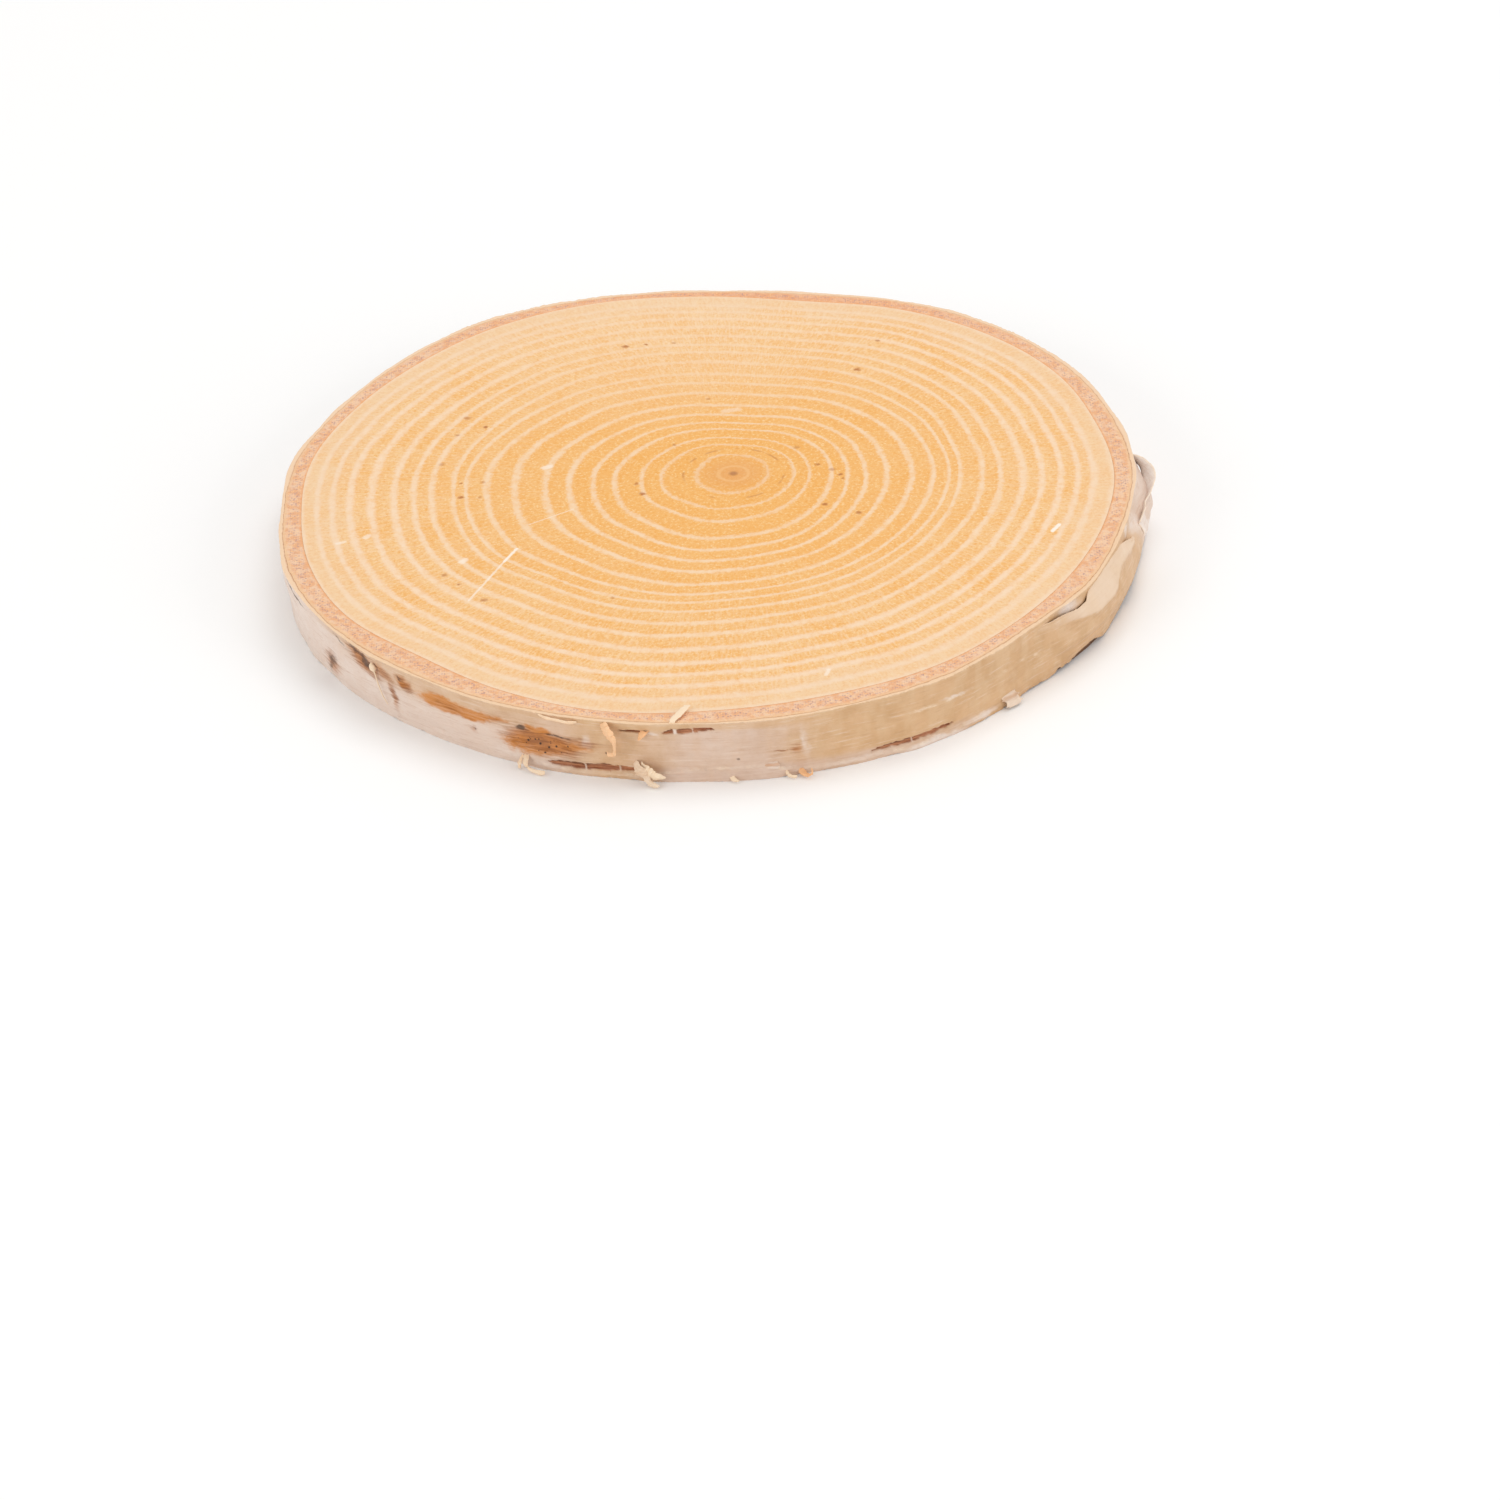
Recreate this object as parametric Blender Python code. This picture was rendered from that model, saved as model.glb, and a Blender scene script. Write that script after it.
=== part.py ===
"""A sawn slice of a birch log with its bark on, lying flat on its lower face.

Metres, +Z up. Angles are in degrees, anticlockwise from +X seen from above, so 270 faces the viewer.
Shapes are laid out about the middle of the sawn outline. At the end the whole slice is moved so that
the origin is the middle of its box, at the lower face.
"""

import math

import bmesh
import bpy
import numpy as np
from mathutils import Matrix, Vector, noise

MM = 0.001
THICKNESS = 9.5 * MM
SEAM = 0.3 * MM

# The two outlines of the sawn face, as radii every 15 degrees: the bark's rim, and where the wood ends.
RIM_RADII = [
    62.5, 63.2, 64.4, 65.1, 64.7, 63.0, 63.3, 64.9, 66.0, 64.8, 63.6, 63.5,
    62.9, 63.6, 63.6, 63.2, 63.3, 63.2, 63.4, 63.1, 62.7, 61.2, 61.8, 61.5,
]
WOOD_RADII = [
    59.2, 59.7, 61.3, 62.0, 61.7, 60.0, 61.1, 62.7, 62.9, 61.7, 60.9, 60.6,
    59.6, 59.8, 59.9, 58.7, 59.8, 60.6, 59.7, 59.2, 59.3, 58.4, 58.0, 58.3,
]

# The log was sawn a little askew, so the lower outline lies this far from the upper one.
LEAN = Vector((1.0 * MM, 0.4 * MM, 0.0))

WOOD_STEPS = 144
BARK_STEPS = 200
WALL_HEIGHTS = [9.5, 8.8, 8.1, 7.4, 6.6, 5.6, 4.4, 3.2, 2.2, 1.4, 0.7, 0.0]
SHEET_THICKNESS = 0.6 * MM

# Unevenness of the bark's wall: size in mm, and how often it changes round the bark and up it.
SWELL = (0.30, 9.0, 0.16)
GRAIN = (0.12, 14.0, 0.9)

# Splits that run round the bark: start and end angle, height, half height and depth in mm.
SPLITS = [
    (246.0, 259.0, 1.4, 0.6, 0.5),
    (257.0, 268.5, 8.1, 0.5, 0.5),
    (288.0, 300.5, 1.4, 0.6, 0.5),
    (92.0, 112.0, 6.0, 0.7, 0.5),
    (158.0, 171.0, 2.6, 0.7, 0.5),
]

# The lower strip of paper, torn along its upper edge: start and end angle, height and how far it stands out.
STRIP = (244.0, 302.0, 1.8, 0.25)

# Old twig scars, knots and notches: angle, height, half width round the bark, half height and relief in mm.
SCARS = [
    (217.0, 8.0, 2.6, 1.4, -0.5),
    (225.5, 7.6, 1.2, 1.6, 0.3),
    (234.0, 6.4, 4.5, 1.2, -0.3),
    (246.5, 4.4, 5.5, 2.2, -0.4),
    (246.0, 6.4, 2.0, 0.7, 0.7),
    (279.0, 4.4, 1.6, 1.2, 0.4),
    (40.0, 4.5, 3.5, 2.6, 0.5),
    (76.0, 6.8, 2.4, 1.2, -0.4),
    (131.0, 4.0, 6.0, 2.8, 0.6),
    (149.0, 7.2, 2.0, 1.0, -0.4),
    (308.0, 0.0, 2.0, 1.0, -0.6),
    (326.5, 0.2, 3.4, 1.7, -1.1),
]

# The papery layer that bulges off the wall at the right front: how far it stands out in mm at each angle,
# and the share of that at each height.
BULGE_ANGLES = [300, 308, 316, 322, 328, 334, 340, 346, 352, 358, 364, 372]
BULGE_OUT = [0.0, 0.2, 0.5, 0.9, 1.2, 1.3, 1.4, 1.3, 1.1, 1.3, 0.9, 0.0]
BULGE_HEIGHTS = [0.0, 2.0, 4.0, 5.0, 7.4]
BULGE_SHARES = [0.1, 0.6, 1.0, 1.0, 0.0]

# The folded sheet: angle, height of its lip, and how far its lip and its fold stand out, in mm.
FOLDED_SHEET = [
    (316, 8.9, 0.2, 0.2), (319, 9.1, 0.5, 0.6), (322, 8.9, 0.9, 1.2), (325, 8.8, 1.1, 1.7),
    (328, 8.8, 0.9, 1.9), (331, 9.1, 0.8, 1.8), (334, 9.2, 0.7, 1.3), (337, 9.2, 0.7, 1.2),
    (340, 9.1, 1.0, 1.7), (343, 8.6, 1.2, 1.6), (346, 7.8, 0.9, 1.2), (348, 7.3, 0.5, 0.8),
]

# The standing flap: angle, height of its torn top and how far that stands out, in mm.
STANDING_FLAP = [
    (351, 7.6, 0.9), (354, 8.2, 1.7), (357, 8.6, 2.1), (360, 9.0, 2.5), (363, 9.0, 2.4), (365, 8.8, 1.2),
]

# Torn strips that peel off the wall: angle of the root, breadth in mm, and the path from the root outwards,
# as steps of how far it has strayed round the bark, its height, its distance out (in mm) and the tilt of
# its breadth (in degrees). The last three are on the side that faces away.
CURLS = {
    "rim strip": (255.6, 1.3, [
        (0, 9.3, -0.6, 0), (0, 8.7, 0.6, 10), (0.6, 7.6, 1.5, 40), (0.8, 6.2, 1.6, 60),
        (0.4, 5.0, 1.1, 30), (-0.4, 4.3, 0.5, 0)]),
    "split strip": (259.6, 1.2, [(0, 8.4, -0.6, 0), (0, 8.0, 0.5, 0), (-0.3, 7.3, 1.1, 20)]),
    "rim flake": (264.6, 1.7, [
        (-1.4, 8.8, -0.5, 0), (-1.1, 9.7, -0.7, 0), (0.2, 10.1, -2.4, 0), (1.4, 10.2, -4.3, 0)]),
    "lower tatter": (245.4, 1.6, [
        (-1.6, 1.6, -0.6, 0), (-1.0, 1.2, 0.6, 0), (0.1, 0.8, 1.6, 0), (1.2, 0.5, 2.2, 0)]),
    "lower curl": (259.6, 1.8, [
        (-0.8, 2.9, -0.6, 30), (-0.5, 2.4, 0.6, 30), (0.1, 1.4, 1.5, 20), (0.8, 0.9, 2.6, 10)]),
    "small curl": (278.5, 1.2, [(-0.8, 0.9, -0.6, 0), (-0.3, 0.7, 0.7, 0), (0.4, 0.6, 1.5, 0)]),
    "lower flap": (309.5, 3.2, [(0, 1.9, -0.4, 0), (0.2, 1.2, 0.8, 0), (0.3, 0.5, 1.1, 0)]),
    "back strip": (62.0, 3.4, [
        (0, 7.6, -0.6, 0), (0.3, 6.9, 0.9, 0), (0.9, 5.8, 2.0, 6),
        (1.7, 4.4, 2.1, 10), (2.2, 3.5, 1.2, 12)]),
    "back scroll": (104.0, 2.6, [
        (0, 2.4, -0.6, 0), (0, 3.4, 0.9, 0), (-0.4, 4.6, 1.7, 0), (-0.6, 5.6, 1.2, 0)]),
    "back tatter": (166.0, 2.2, [(0, 3.0, -0.6, 0), (0.3, 2.2, 0.8, 0), (0.6, 1.2, 1.5, -8)]),
}


def smooth_radius(radii, angle):
    """The radius in metres at an angle, on the smooth closed curve through evenly spaced radii."""
    count = len(radii)
    place = angle % 360.0 / 360.0 * count
    first = int(place)
    t = place - first
    a, b, c, d = (radii[(first + k) % count] for k in (-1, 0, 1, 2))
    bend = (2 * a - 5 * b + 4 * c - d) * t**2 + (3 * b - a - 3 * c + d) * t**3
    return 0.5 * (2 * b + (c - a) * t + bend) * MM


def outline_point(radii, angle, height, out=0.0):
    """A point of an outline at a height, moved outwards by out."""
    radius = smooth_radius(radii, angle) + out
    turn = math.radians(angle)
    lean = LEAN * (1.0 - height / THICKNESS)
    return Vector((radius * math.cos(turn), radius * math.sin(turn), height)) + lean


def bump(distance):
    """1 at no distance, falling smoothly to 0 at a distance of 1."""
    return (1.0 - min(abs(distance), 1.0) ** 2) ** 2


def arc_mm(angle, centre):
    """How far an angle lies round the bark from a centre angle, in mm."""
    turn = (angle - centre + 180.0) % 360.0 - 180.0
    return math.radians(turn) * smooth_radius(RIM_RADII, centre) / MM


def unevenness(kind, across, up):
    """Smooth noise of one kind, in mm: its size, and how often it changes round the bark and up it."""
    size, round_rate, up_rate = kind
    return size * noise.noise(across * round_rate + Vector((0.0, 0.0, up * up_rate)))


def split_depth(angle, up):
    depth = 0.0
    for start, end, level, half_height, full_depth in SPLITS:
        middle = (start + end) / 2
        along = arc_mm(angle, middle) / arc_mm(end, middle)
        depth += full_depth * bump(along) * bump((up - level) / half_height)
    return depth


def scar_relief(angle, up):
    relief = 0.0
    for centre, level, half_width, half_height, size in SCARS:
        away = math.hypot(arc_mm(angle, centre) / half_width, (up - level) / half_height)
        relief += size * bump(away)
    return relief


def bulge(angle, up):
    past_front = angle if angle > BULGE_ANGLES[-1] - 360 else angle + 360
    out = np.interp(past_front, BULGE_ANGLES, BULGE_OUT)
    return float(out * np.interp(up, BULGE_HEIGHTS, BULGE_SHARES))


def wall_relief(angle, height):
    """How far the bark's outer wall stands off its plain outline, in metres."""
    up = height / MM
    turn = math.radians(angle)
    across = Vector((math.cos(turn), math.sin(turn), 0.0))
    relief = unevenness(SWELL, across, up) + unevenness(GRAIN, across, up)
    relief += scar_relief(angle, up) + bulge(angle, up) - split_depth(angle, up)
    strip_start, strip_end, strip_top, strip_out = STRIP
    if strip_start < angle < strip_end and up < strip_top:
        relief += strip_out
    return relief * MM


def new_object(name, bm):
    """An object made of a bmesh, linked to the scene."""
    bmesh.ops.recalc_face_normals(bm, faces=bm.faces)
    mesh = bpy.data.meshes.new(name)
    bm.to_mesh(mesh)
    bm.free()
    obj = bpy.data.objects.new(name, mesh)
    bpy.context.scene.collection.objects.link(obj)
    return obj


def give_material(obj, name, colour, roughness):
    material = bpy.data.materials.new(name)
    material.use_nodes = True
    shader = material.node_tree.nodes["Principled BSDF"]
    shader.inputs["Base Color"].default_value = (*colour, 1.0)
    shader.inputs["Roughness"].default_value = roughness
    shader.inputs["Metallic"].default_value = 0.0
    obj.data.materials.clear()
    obj.data.materials.append(material)


def make_wood():
    """The sawn disc inside the bark, half the seam smaller than the line where the wood ends."""
    bm = bmesh.new()
    rings = []
    for height in (THICKNESS, 0.0):
        ring = []
        for step in range(WOOD_STEPS):
            angle = step * 360.0 / WOOD_STEPS
            ring.append(bm.verts.new(outline_point(WOOD_RADII, angle, height, -SEAM / 2)))
        rings.append(ring)
    top, bottom = rings
    for step in range(WOOD_STEPS):
        after = (step + 1) % WOOD_STEPS
        bm.faces.new((top[step], bottom[step], bottom[after], top[after]))
    bm.faces.new(top)
    bm.faces.new(bottom)
    return new_object("wood", bm)


def bark_profile(angle):
    """The closed loop of points round the bark's cross section at an angle."""
    points = [outline_point(WOOD_RADII, angle, THICKNESS, SEAM / 2)]
    for up in WALL_HEIGHTS:
        height = up * MM
        points.append(outline_point(RIM_RADII, angle, height, wall_relief(angle, height)))
    points.append(outline_point(WOOD_RADII, angle, 0.0, SEAM / 2))
    return points


def make_bark_ring():
    """The whole closed ring of bark, with the wall's relief and no loose paper yet."""
    bm = bmesh.new()
    profiles = []
    for step in range(BARK_STEPS):
        points = bark_profile(step * 360.0 / BARK_STEPS)
        profiles.append([bm.verts.new(point) for point in points])
    count = len(profiles[0])
    for step in range(BARK_STEPS):
        here, after = profiles[step], profiles[(step + 1) % BARK_STEPS]
        for row in range(count):
            below = (row + 1) % count
            bm.faces.new((here[row], here[below], after[below]))
            bm.faces.new((here[row], after[below], after[row]))
    return new_object("bark", bm)


def sheet_solid(name, grid):
    """A closed sheet of even thickness through a grid of points, with like triangles on both faces."""
    rows, columns = len(grid), len(grid[0])
    half = SHEET_THICKNESS / 2
    bm = bmesh.new()
    front, back = [], []
    for row in range(rows):
        front.append([])
        back.append([])
        for column in range(columns):
            along = grid[row][min(column + 1, columns - 1)] - grid[row][max(column - 1, 0)]
            across = grid[min(row + 1, rows - 1)][column] - grid[max(row - 1, 0)][column]
            normal = along.cross(across).normalized()
            front[row].append(bm.verts.new(grid[row][column] + normal * half))
            back[row].append(bm.verts.new(grid[row][column] - normal * half))
    for row in range(rows - 1):
        for column in range(columns - 1):
            for side in (front, back):
                low, high = side[row], side[row + 1]
                bm.faces.new((low[column], low[column + 1], high[column + 1]))
                bm.faces.new((low[column], high[column + 1], high[column]))
    for row in range(rows - 1):
        for end in (0, columns - 1):
            bm.faces.new((front[row][end], front[row + 1][end], back[row + 1][end], back[row][end]))
    for column in range(columns - 1):
        after = column + 1
        for end in (0, rows - 1):
            bm.faces.new((front[end][column], front[end][after], back[end][after], back[end][column]))
    return new_object(name, bm)


def wall_point(angle, up, out):
    """A point that stands out by out mm from the plain wall, at a height of up mm."""
    return outline_point(RIM_RADII, angle, up * MM, out * MM)


def standing_sheet(name, columns):
    """A sheet of paper bark standing off the wall.

    Each column is an angle and its points from the root up: pairs of height and distance out, in mm.
    """
    rows = len(columns[0][1])
    grid = []
    for row in range(rows):
        grid.append([wall_point(angle, *points[row]) for angle, points in columns])
    return sheet_solid(name, grid)


def curl(name, middle, breadth, path):
    """A strip of bark that peels off the wall along a path, as CURLS gives it."""
    grid = []
    for stray, up, out, tilt in path:
        row = []
        for side in (-0.5, 0.5):
            round_by = stray + side * breadth * math.cos(math.radians(tilt))
            rise = side * breadth * math.sin(math.radians(tilt))
            angle = middle + math.degrees(round_by * MM / smooth_radius(RIM_RADII, middle))
            row.append(wall_point(angle, up + rise, out))
        grid.append(row)
    return sheet_solid(name, grid)


def make_folded_sheet():
    """The paper layer at the right front, whose lip stands off the rim and folds outwards."""
    columns = []
    for angle, lip_up, lip_out, fold_out in FOLDED_SHEET:
        root = [(3.4, 0.5), (4.7, 0.9)]
        fold = [(lip_up - 2.2, fold_out * 0.9), (lip_up - 1.1, fold_out), (lip_up, lip_out)]
        columns.append((angle, root + fold))
    return standing_sheet("folded sheet", columns)


def make_standing_flap():
    """The pale flap at the right, torn loose at its top and standing away from the rim."""
    columns = []
    for angle, top, out in STANDING_FLAP:
        columns.append((angle, [(2.2, 0.3), (4.2, out * 0.5), (6.2, out * 0.8), (top, out)]))
    return standing_sheet("standing flap", columns)


def join_bodies(obj, pieces):
    """Joins the pieces into the object with one Boolean union and removes them."""
    collection = bpy.data.collections.new("torn bark")
    bpy.context.scene.collection.children.link(collection)
    for piece in pieces:
        bpy.context.scene.collection.objects.unlink(piece)
        collection.objects.link(piece)
    union = obj.modifiers.new("union", "BOOLEAN")
    union.operation = "UNION"
    union.operand_type = "COLLECTION"
    union.collection = collection
    union.solver = "EXACT"
    graph = bpy.context.evaluated_depsgraph_get()
    joined = bpy.data.meshes.new_from_object(obj.evaluated_get(graph))
    obj.modifiers.clear()
    obj.data = joined
    for piece in pieces:
        bpy.data.objects.remove(piece)
    bpy.data.collections.remove(collection)


def shade_round(obj):
    obj.data.shade_smooth()
    obj.data.set_sharp_from_angle(angle=math.radians(40))


def stand_on_origin(objects):
    """Moves the slice so that the origin is the middle of its box, at the lower face."""
    points = [vertex.co for obj in objects for vertex in obj.data.vertices]
    low = [min(point[axis] for point in points) for axis in range(3)]
    high = [max(point[axis] for point in points) for axis in range(3)]
    shift = Vector((-(low[0] + high[0]) / 2, -(low[1] + high[1]) / 2, -low[2]))
    for obj in objects:
        obj.data.transform(Matrix.Translation(shift))


def main():
    for obj in list(bpy.data.objects):
        bpy.data.objects.remove(obj)
    wood = make_wood()
    bark = make_bark_ring()
    curls = [curl(name, *shape) for name, shape in CURLS.items()]
    join_bodies(bark, [make_folded_sheet(), make_standing_flap(), *curls])
    stand_on_origin([wood, bark])
    shade_round(wood)
    shade_round(bark)
    give_material(wood, "wood", (0.87, 0.55, 0.22), 0.75)
    give_material(bark, "bark", (0.72, 0.60, 0.48), 0.7)


main()
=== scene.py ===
"""The looks of the birch wood slice: its sawn faces with their growth rings, the granular inner bark and
the papery outer bark with its splits, curls and torn sheets.

Metres, +Z up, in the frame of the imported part. Angles are in degrees, anticlockwise from +X seen from
above, so 270 faces the camera. Shapes are laid out in mm about the middle of the sawn outline, and MIDDLE
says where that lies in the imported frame.
"""

import math

import bpy
import numpy as np
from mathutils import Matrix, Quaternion, Vector, noise


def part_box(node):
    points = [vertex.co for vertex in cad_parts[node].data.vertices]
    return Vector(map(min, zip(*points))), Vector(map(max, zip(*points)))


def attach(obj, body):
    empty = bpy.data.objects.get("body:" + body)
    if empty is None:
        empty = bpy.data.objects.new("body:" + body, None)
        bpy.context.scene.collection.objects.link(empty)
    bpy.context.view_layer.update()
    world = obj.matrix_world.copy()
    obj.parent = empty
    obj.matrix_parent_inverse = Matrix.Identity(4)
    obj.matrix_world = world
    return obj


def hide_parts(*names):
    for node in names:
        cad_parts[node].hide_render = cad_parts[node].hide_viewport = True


BODY = "root"
MM = 0.001

# The part's own shape, in mm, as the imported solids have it.
THICKNESS = 9.5
SEAM = 0.3
WOOD_STEPS = 144
LEAN = (1.0, 0.4)
RIM_RADII = [
    62.5, 63.2, 64.4, 65.1, 64.7, 63.0, 63.3, 64.9, 66.0, 64.8, 63.6, 63.5,
    62.9, 63.6, 63.6, 63.2, 63.3, 63.2, 63.4, 63.1, 62.7, 61.2, 61.8, 61.5,
]
WOOD_RADII = [
    59.2, 59.7, 61.3, 62.0, 61.7, 60.0, 61.1, 62.7, 62.9, 61.7, 60.9, 60.6,
    59.6, 59.8, 59.9, 58.7, 59.8, 60.6, 59.7, 59.2, 59.3, 58.4, 58.0, 58.3,
]
# How thick the paper is where it is sawn, and how far inside the outline its wall lies without relief.
PAPER_THICKNESS = 0.75
WALL_INSET = 0.1
# The wall's relief: the size in mm of each layer of noise, how fast it changes round the slice and up it,
# and a number that tells it from the others.
SWELL = (0.30, 9.0, 0.16, 0.0)
GRAIN = (0.12, 14.0, 0.9, 0.0)
FINE_GRAIN = [(0.05, 60.0, 1.6, 2.0), (0.025, 160.0, 4.5, 4.0)]
# The bulging layer of paper at the right front: how far it stands out at each angle, and what share of
# that at each height.
BULGE_ANGLES = [300, 308, 316, 322, 328, 334, 340, 346, 352, 358, 364, 372]
BULGE_OUT = [0.0, 0.2, 0.5, 0.9, 1.2, 1.3, 1.4, 1.3, 1.1, 1.3, 0.9, 0.0]
BULGE_HEIGHTS = [0.0, 2.0, 4.0, 5.0, 7.4]
BULGE_SHARES = [0.1, 0.6, 1.0, 1.0, 0.0]

# Old twig scars, knots, hollows and, last, the swelling at the right: angle, height, half width round the
# bark, half height and relief.
SCARS = [
    (217.0, 8.0, 2.6, 1.4, -0.5), (225.5, 7.6, 1.2, 1.6, 0.3), (234.0, 6.4, 4.5, 1.2, -0.3),
    (246.5, 4.4, 5.5, 2.2, -0.4), (246.0, 6.4, 2.0, 0.7, 0.7), (279.0, 4.4, 1.6, 1.2, 0.4),
    (40.0, 4.5, 3.5, 2.6, 0.5), (76.0, 6.8, 2.4, 1.2, -0.4), (131.0, 4.0, 6.0, 2.8, 0.6),
    (149.0, 7.2, 2.0, 1.0, -0.4), (359.0, 6.8, 8.0, 3.3, 1.15),
]

# Splits that open the paper: start and end angle, height at each end, half height and depth.
SPLITS = [
    (246.5, 259.6, 1.35, 1.65, 0.60, 0.4), (256.8, 260.6, 8.1, 8.25, 0.22, 0.4),
    (262.2, 269.0, 8.0, 8.6, 0.45, 0.35), (288.2, 300.0, 1.35, 1.9, 0.46, 0.4),
    (92.0, 112.0, 5.8, 6.2, 0.45, 0.5), (158.0, 171.0, 2.5, 2.8, 0.45, 0.5),
]
# Shreds of paper that still cross a split: the angle of each and its half width in mm.
SPLIT_BARS = [
    (251.7, 0.16), (256.2, 0.08), (293.6, 0.14), (296.1, 0.07), (264.0, 0.3), (266.3, 0.08), (98.0, 0.3),
    (104.5, 0.2), (163.0, 0.3),
]

# Torn edges where one layer of paper ends: how far the layer below stands out, and the line's angles and
# heights.
TORN_EDGES = [
    (0.22, [
        (243.5, 1.0), (247, 0.9), (253, 0.7), (259, 0.9), (262, 1.6), (265, 1.9), (268, 2.3), (272, 2.3),
        (275, 2.0), (276, 1.5), (279, 0.9), (285, 0.8), (292, 0.6), (300, 0.7), (303, 1.0), (307, 0.9)]),
    (0.14, [
        (291, 6.2), (295.7, 5.8), (299.5, 5.8), (302.7, 6.1), (307, 5.6), (309, 5.6), (313.5, 5.7),
        (317.2, 5.2), (319.7, 5.4), (324, 5.0)]),
    (0.16, [(20, 6.8), (27, 7.2), (34, 6.4), (43, 6.9), (52, 7.6), (58, 7.3)]),
    (0.18, [(112, 2.2), (119, 1.8), (125, 2.3), (134, 2.0), (142, 1.4), (147, 1.6)]),
]

# The lower edge of the bulging layer at the right front, which stands off the floor: angle and height.
LIFTED_EDGE = [
    (300, 0.0), (304, 0.1), (311, 0.0), (314, 0.25), (317.8, 0.15), (320, 0.5), (322, 0.45), (324.8, 1.1),
    (327.8, 1.2), (329.5, 0.5), (331, 0.15), (335, 0.3), (337.5, 0.5), (340.5, 1.1), (343, 0.7),
    (347, 0.25), (352, 0.3), (358, 0.1), (366, 0.0),
]

# Where the rim is most ragged: angle and half width in mm.
RAGGED_RIM = [(40.0, 30.0), (115.0, 25.0), (300.0, 24.0)]

# Black specks that lie alone, at an angle and height, and the patch that holds a crowd of them: angle,
# height, half width and half height.
LONE_SPECKS = [(271.3, 3.6), (254.8, 4.0)]
SPECK_SIZE = 0.3
SPECKLED = (246.6, 3.9, 6.0, 1.7)

# Marks on the outer bark by kind: angle, height, half width, half height, slant (mm up for each mm round)
# and strength.
MARKS = {
    "dark": [
        (199.5, 8.7, 4.6, 0.35, -0.12, 0.8), (187.5, 9.0, 4.0, 0.25, -0.05, 0.5),
        (209.9, 3.5, 2.1, 1.3, 0.4, 0.55), (208.6, 1.9, 1.1, 1.3, 0.9, 0.35),
        (218.4, 8.0, 2.3, 1.6, -0.35, 0.7), (216.8, 8.7, 2.6, 1.1, -0.3, 0.55),
        (213.0, 8.5, 2.8, 0.4, -0.2, 0.45), (225.3, 8.1, 1.0, 0.35, -0.2, 0.5),
        (243.8, 6.4, 0.8, 0.5, 0.1, 1.0), (249.0, 5.9, 3.0, 0.3, -0.08, 0.7),
        (131.0, 4.1, 5.0, 1.8, 0.1, 1.0), (131.5, 4.6, 7.0, 0.7, 0.05, 0.8),
        (76.0, 6.8, 2.2, 1.0, 0.0, 0.9), (149.0, 7.2, 1.8, 0.9, 0.0, 0.9),
        (40.0, 4.3, 3.0, 1.2, -0.1, 0.8), (322.7, 6.2, 0.8, 0.18, 0.55, 0.7),
        (237.0, 4.2, 0.4, 0.4, 0.0, 0.5), (61.0, 2.6, 3.4, 0.55, 0.08, 0.8),
        (117.0, 7.6, 2.8, 0.4, 0.0, 0.7), (171.0, 6.2, 2.4, 0.35, 0.0, 0.7),
        (24.0, 5.4, 2.0, 0.4, 0.1, 0.6), (87.0, 2.0, 2.6, 0.45, 0.0, 0.7),
        (154.0, 3.6, 1.8, 0.3, 0.0, 0.6),
    ],
    "stain": [
        (218.0, 7.9, 4.4, 2.6, -0.35, 0.8), (209.6, 3.0, 3.2, 2.6, 0.2, 0.55),
        (225.8, 7.5, 2.1, 1.7, -0.3, 0.7), (223.2, 4.6, 1.1, 4.0, -1.2, 0.55),
        (222.0, 7.4, 3.6, 1.6, -0.3, 0.5), (233.8, 6.2, 6.0, 1.5, 0.0, 0.4),
        (240.0, 6.8, 5.0, 1.6, 0.0, 0.35), (246.4, 4.5, 7.0, 2.6, -0.12, 0.9),
        (247.4, 3.6, 4.4, 1.6, 0.0, 0.6), (251.0, 5.4, 5.0, 1.2, -0.1, 0.5),
        (236.8, 4.1, 1.0, 1.0, 0.0, 0.4), (278.6, 4.3, 1.6, 0.9, 0.1, 0.5),
        (277.0, 4.2, 1.8, 0.2, 0.0, 0.5), (40.0, 4.4, 4.2, 2.4, 0.0, 0.5),
        (131.0, 4.0, 8.0, 2.8, 0.0, 0.6), (76.0, 6.6, 3.6, 1.8, 0.0, 0.5),
    ],
    "orange": [
        (232.4, 6.5, 5.6, 1.5, 0.0, 1.0), (236.4, 6.4, 4.8, 1.2, 0.05, 0.95),
        (240.2, 7.0, 3.0, 0.6, 0.0, 0.5), (246.2, 6.5, 2.4, 0.65, -0.12, 1.0),
        (225.9, 7.3, 0.9, 0.8, 0.0, 0.7), (245.4, 2.8, 4.4, 1.1, 0.05, 0.5),
        (242.8, 3.6, 3.4, 2.0, -0.1, 0.5), (250.6, 4.4, 3.6, 0.9, 0.0, 0.5),
        (104.0, 3.3, 2.6, 0.9, 0.0, 0.8), (64.0, 5.4, 2.4, 1.5, 0.0, 0.7),
    ],
    "white": [
        (261.4, 8.05, 1.3, 0.3, -0.1, 0.6), (270.0, 5.0, 7.0, 3.4, 0.15, 0.2),
        (266.0, 4.4, 2.4, 1.4, 0.1, 0.25), (279.9, 5.2, 0.8, 3.6, 0.0, 0.5),
        (252.4, 5.6, 1.0, 1.8, 0.2, 0.6), (246.0, 1.0, 5.0, 1.0, 0.0, 0.5),
        (304.5, 0.8, 3.8, 0.6, 0.03, 0.9), (297.0, 0.3, 7.0, 0.6, 0.02, 0.9),
        (286.0, 0.7, 7.0, 0.5, 0.0, 0.5), (241.0, 1.6, 7.0, 1.8, 0.0, 0.6),
        (300.5, 6.1, 3.0, 0.3, 0.0, 0.6), (323.6, 8.7, 3.6, 1.1, -0.1, 0.75),
        (349.5, 7.4, 4.0, 2.4, -0.3, 0.85), (345.0, 8.6, 1.6, 1.2, 0.0, 0.75),
    ],
}

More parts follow.
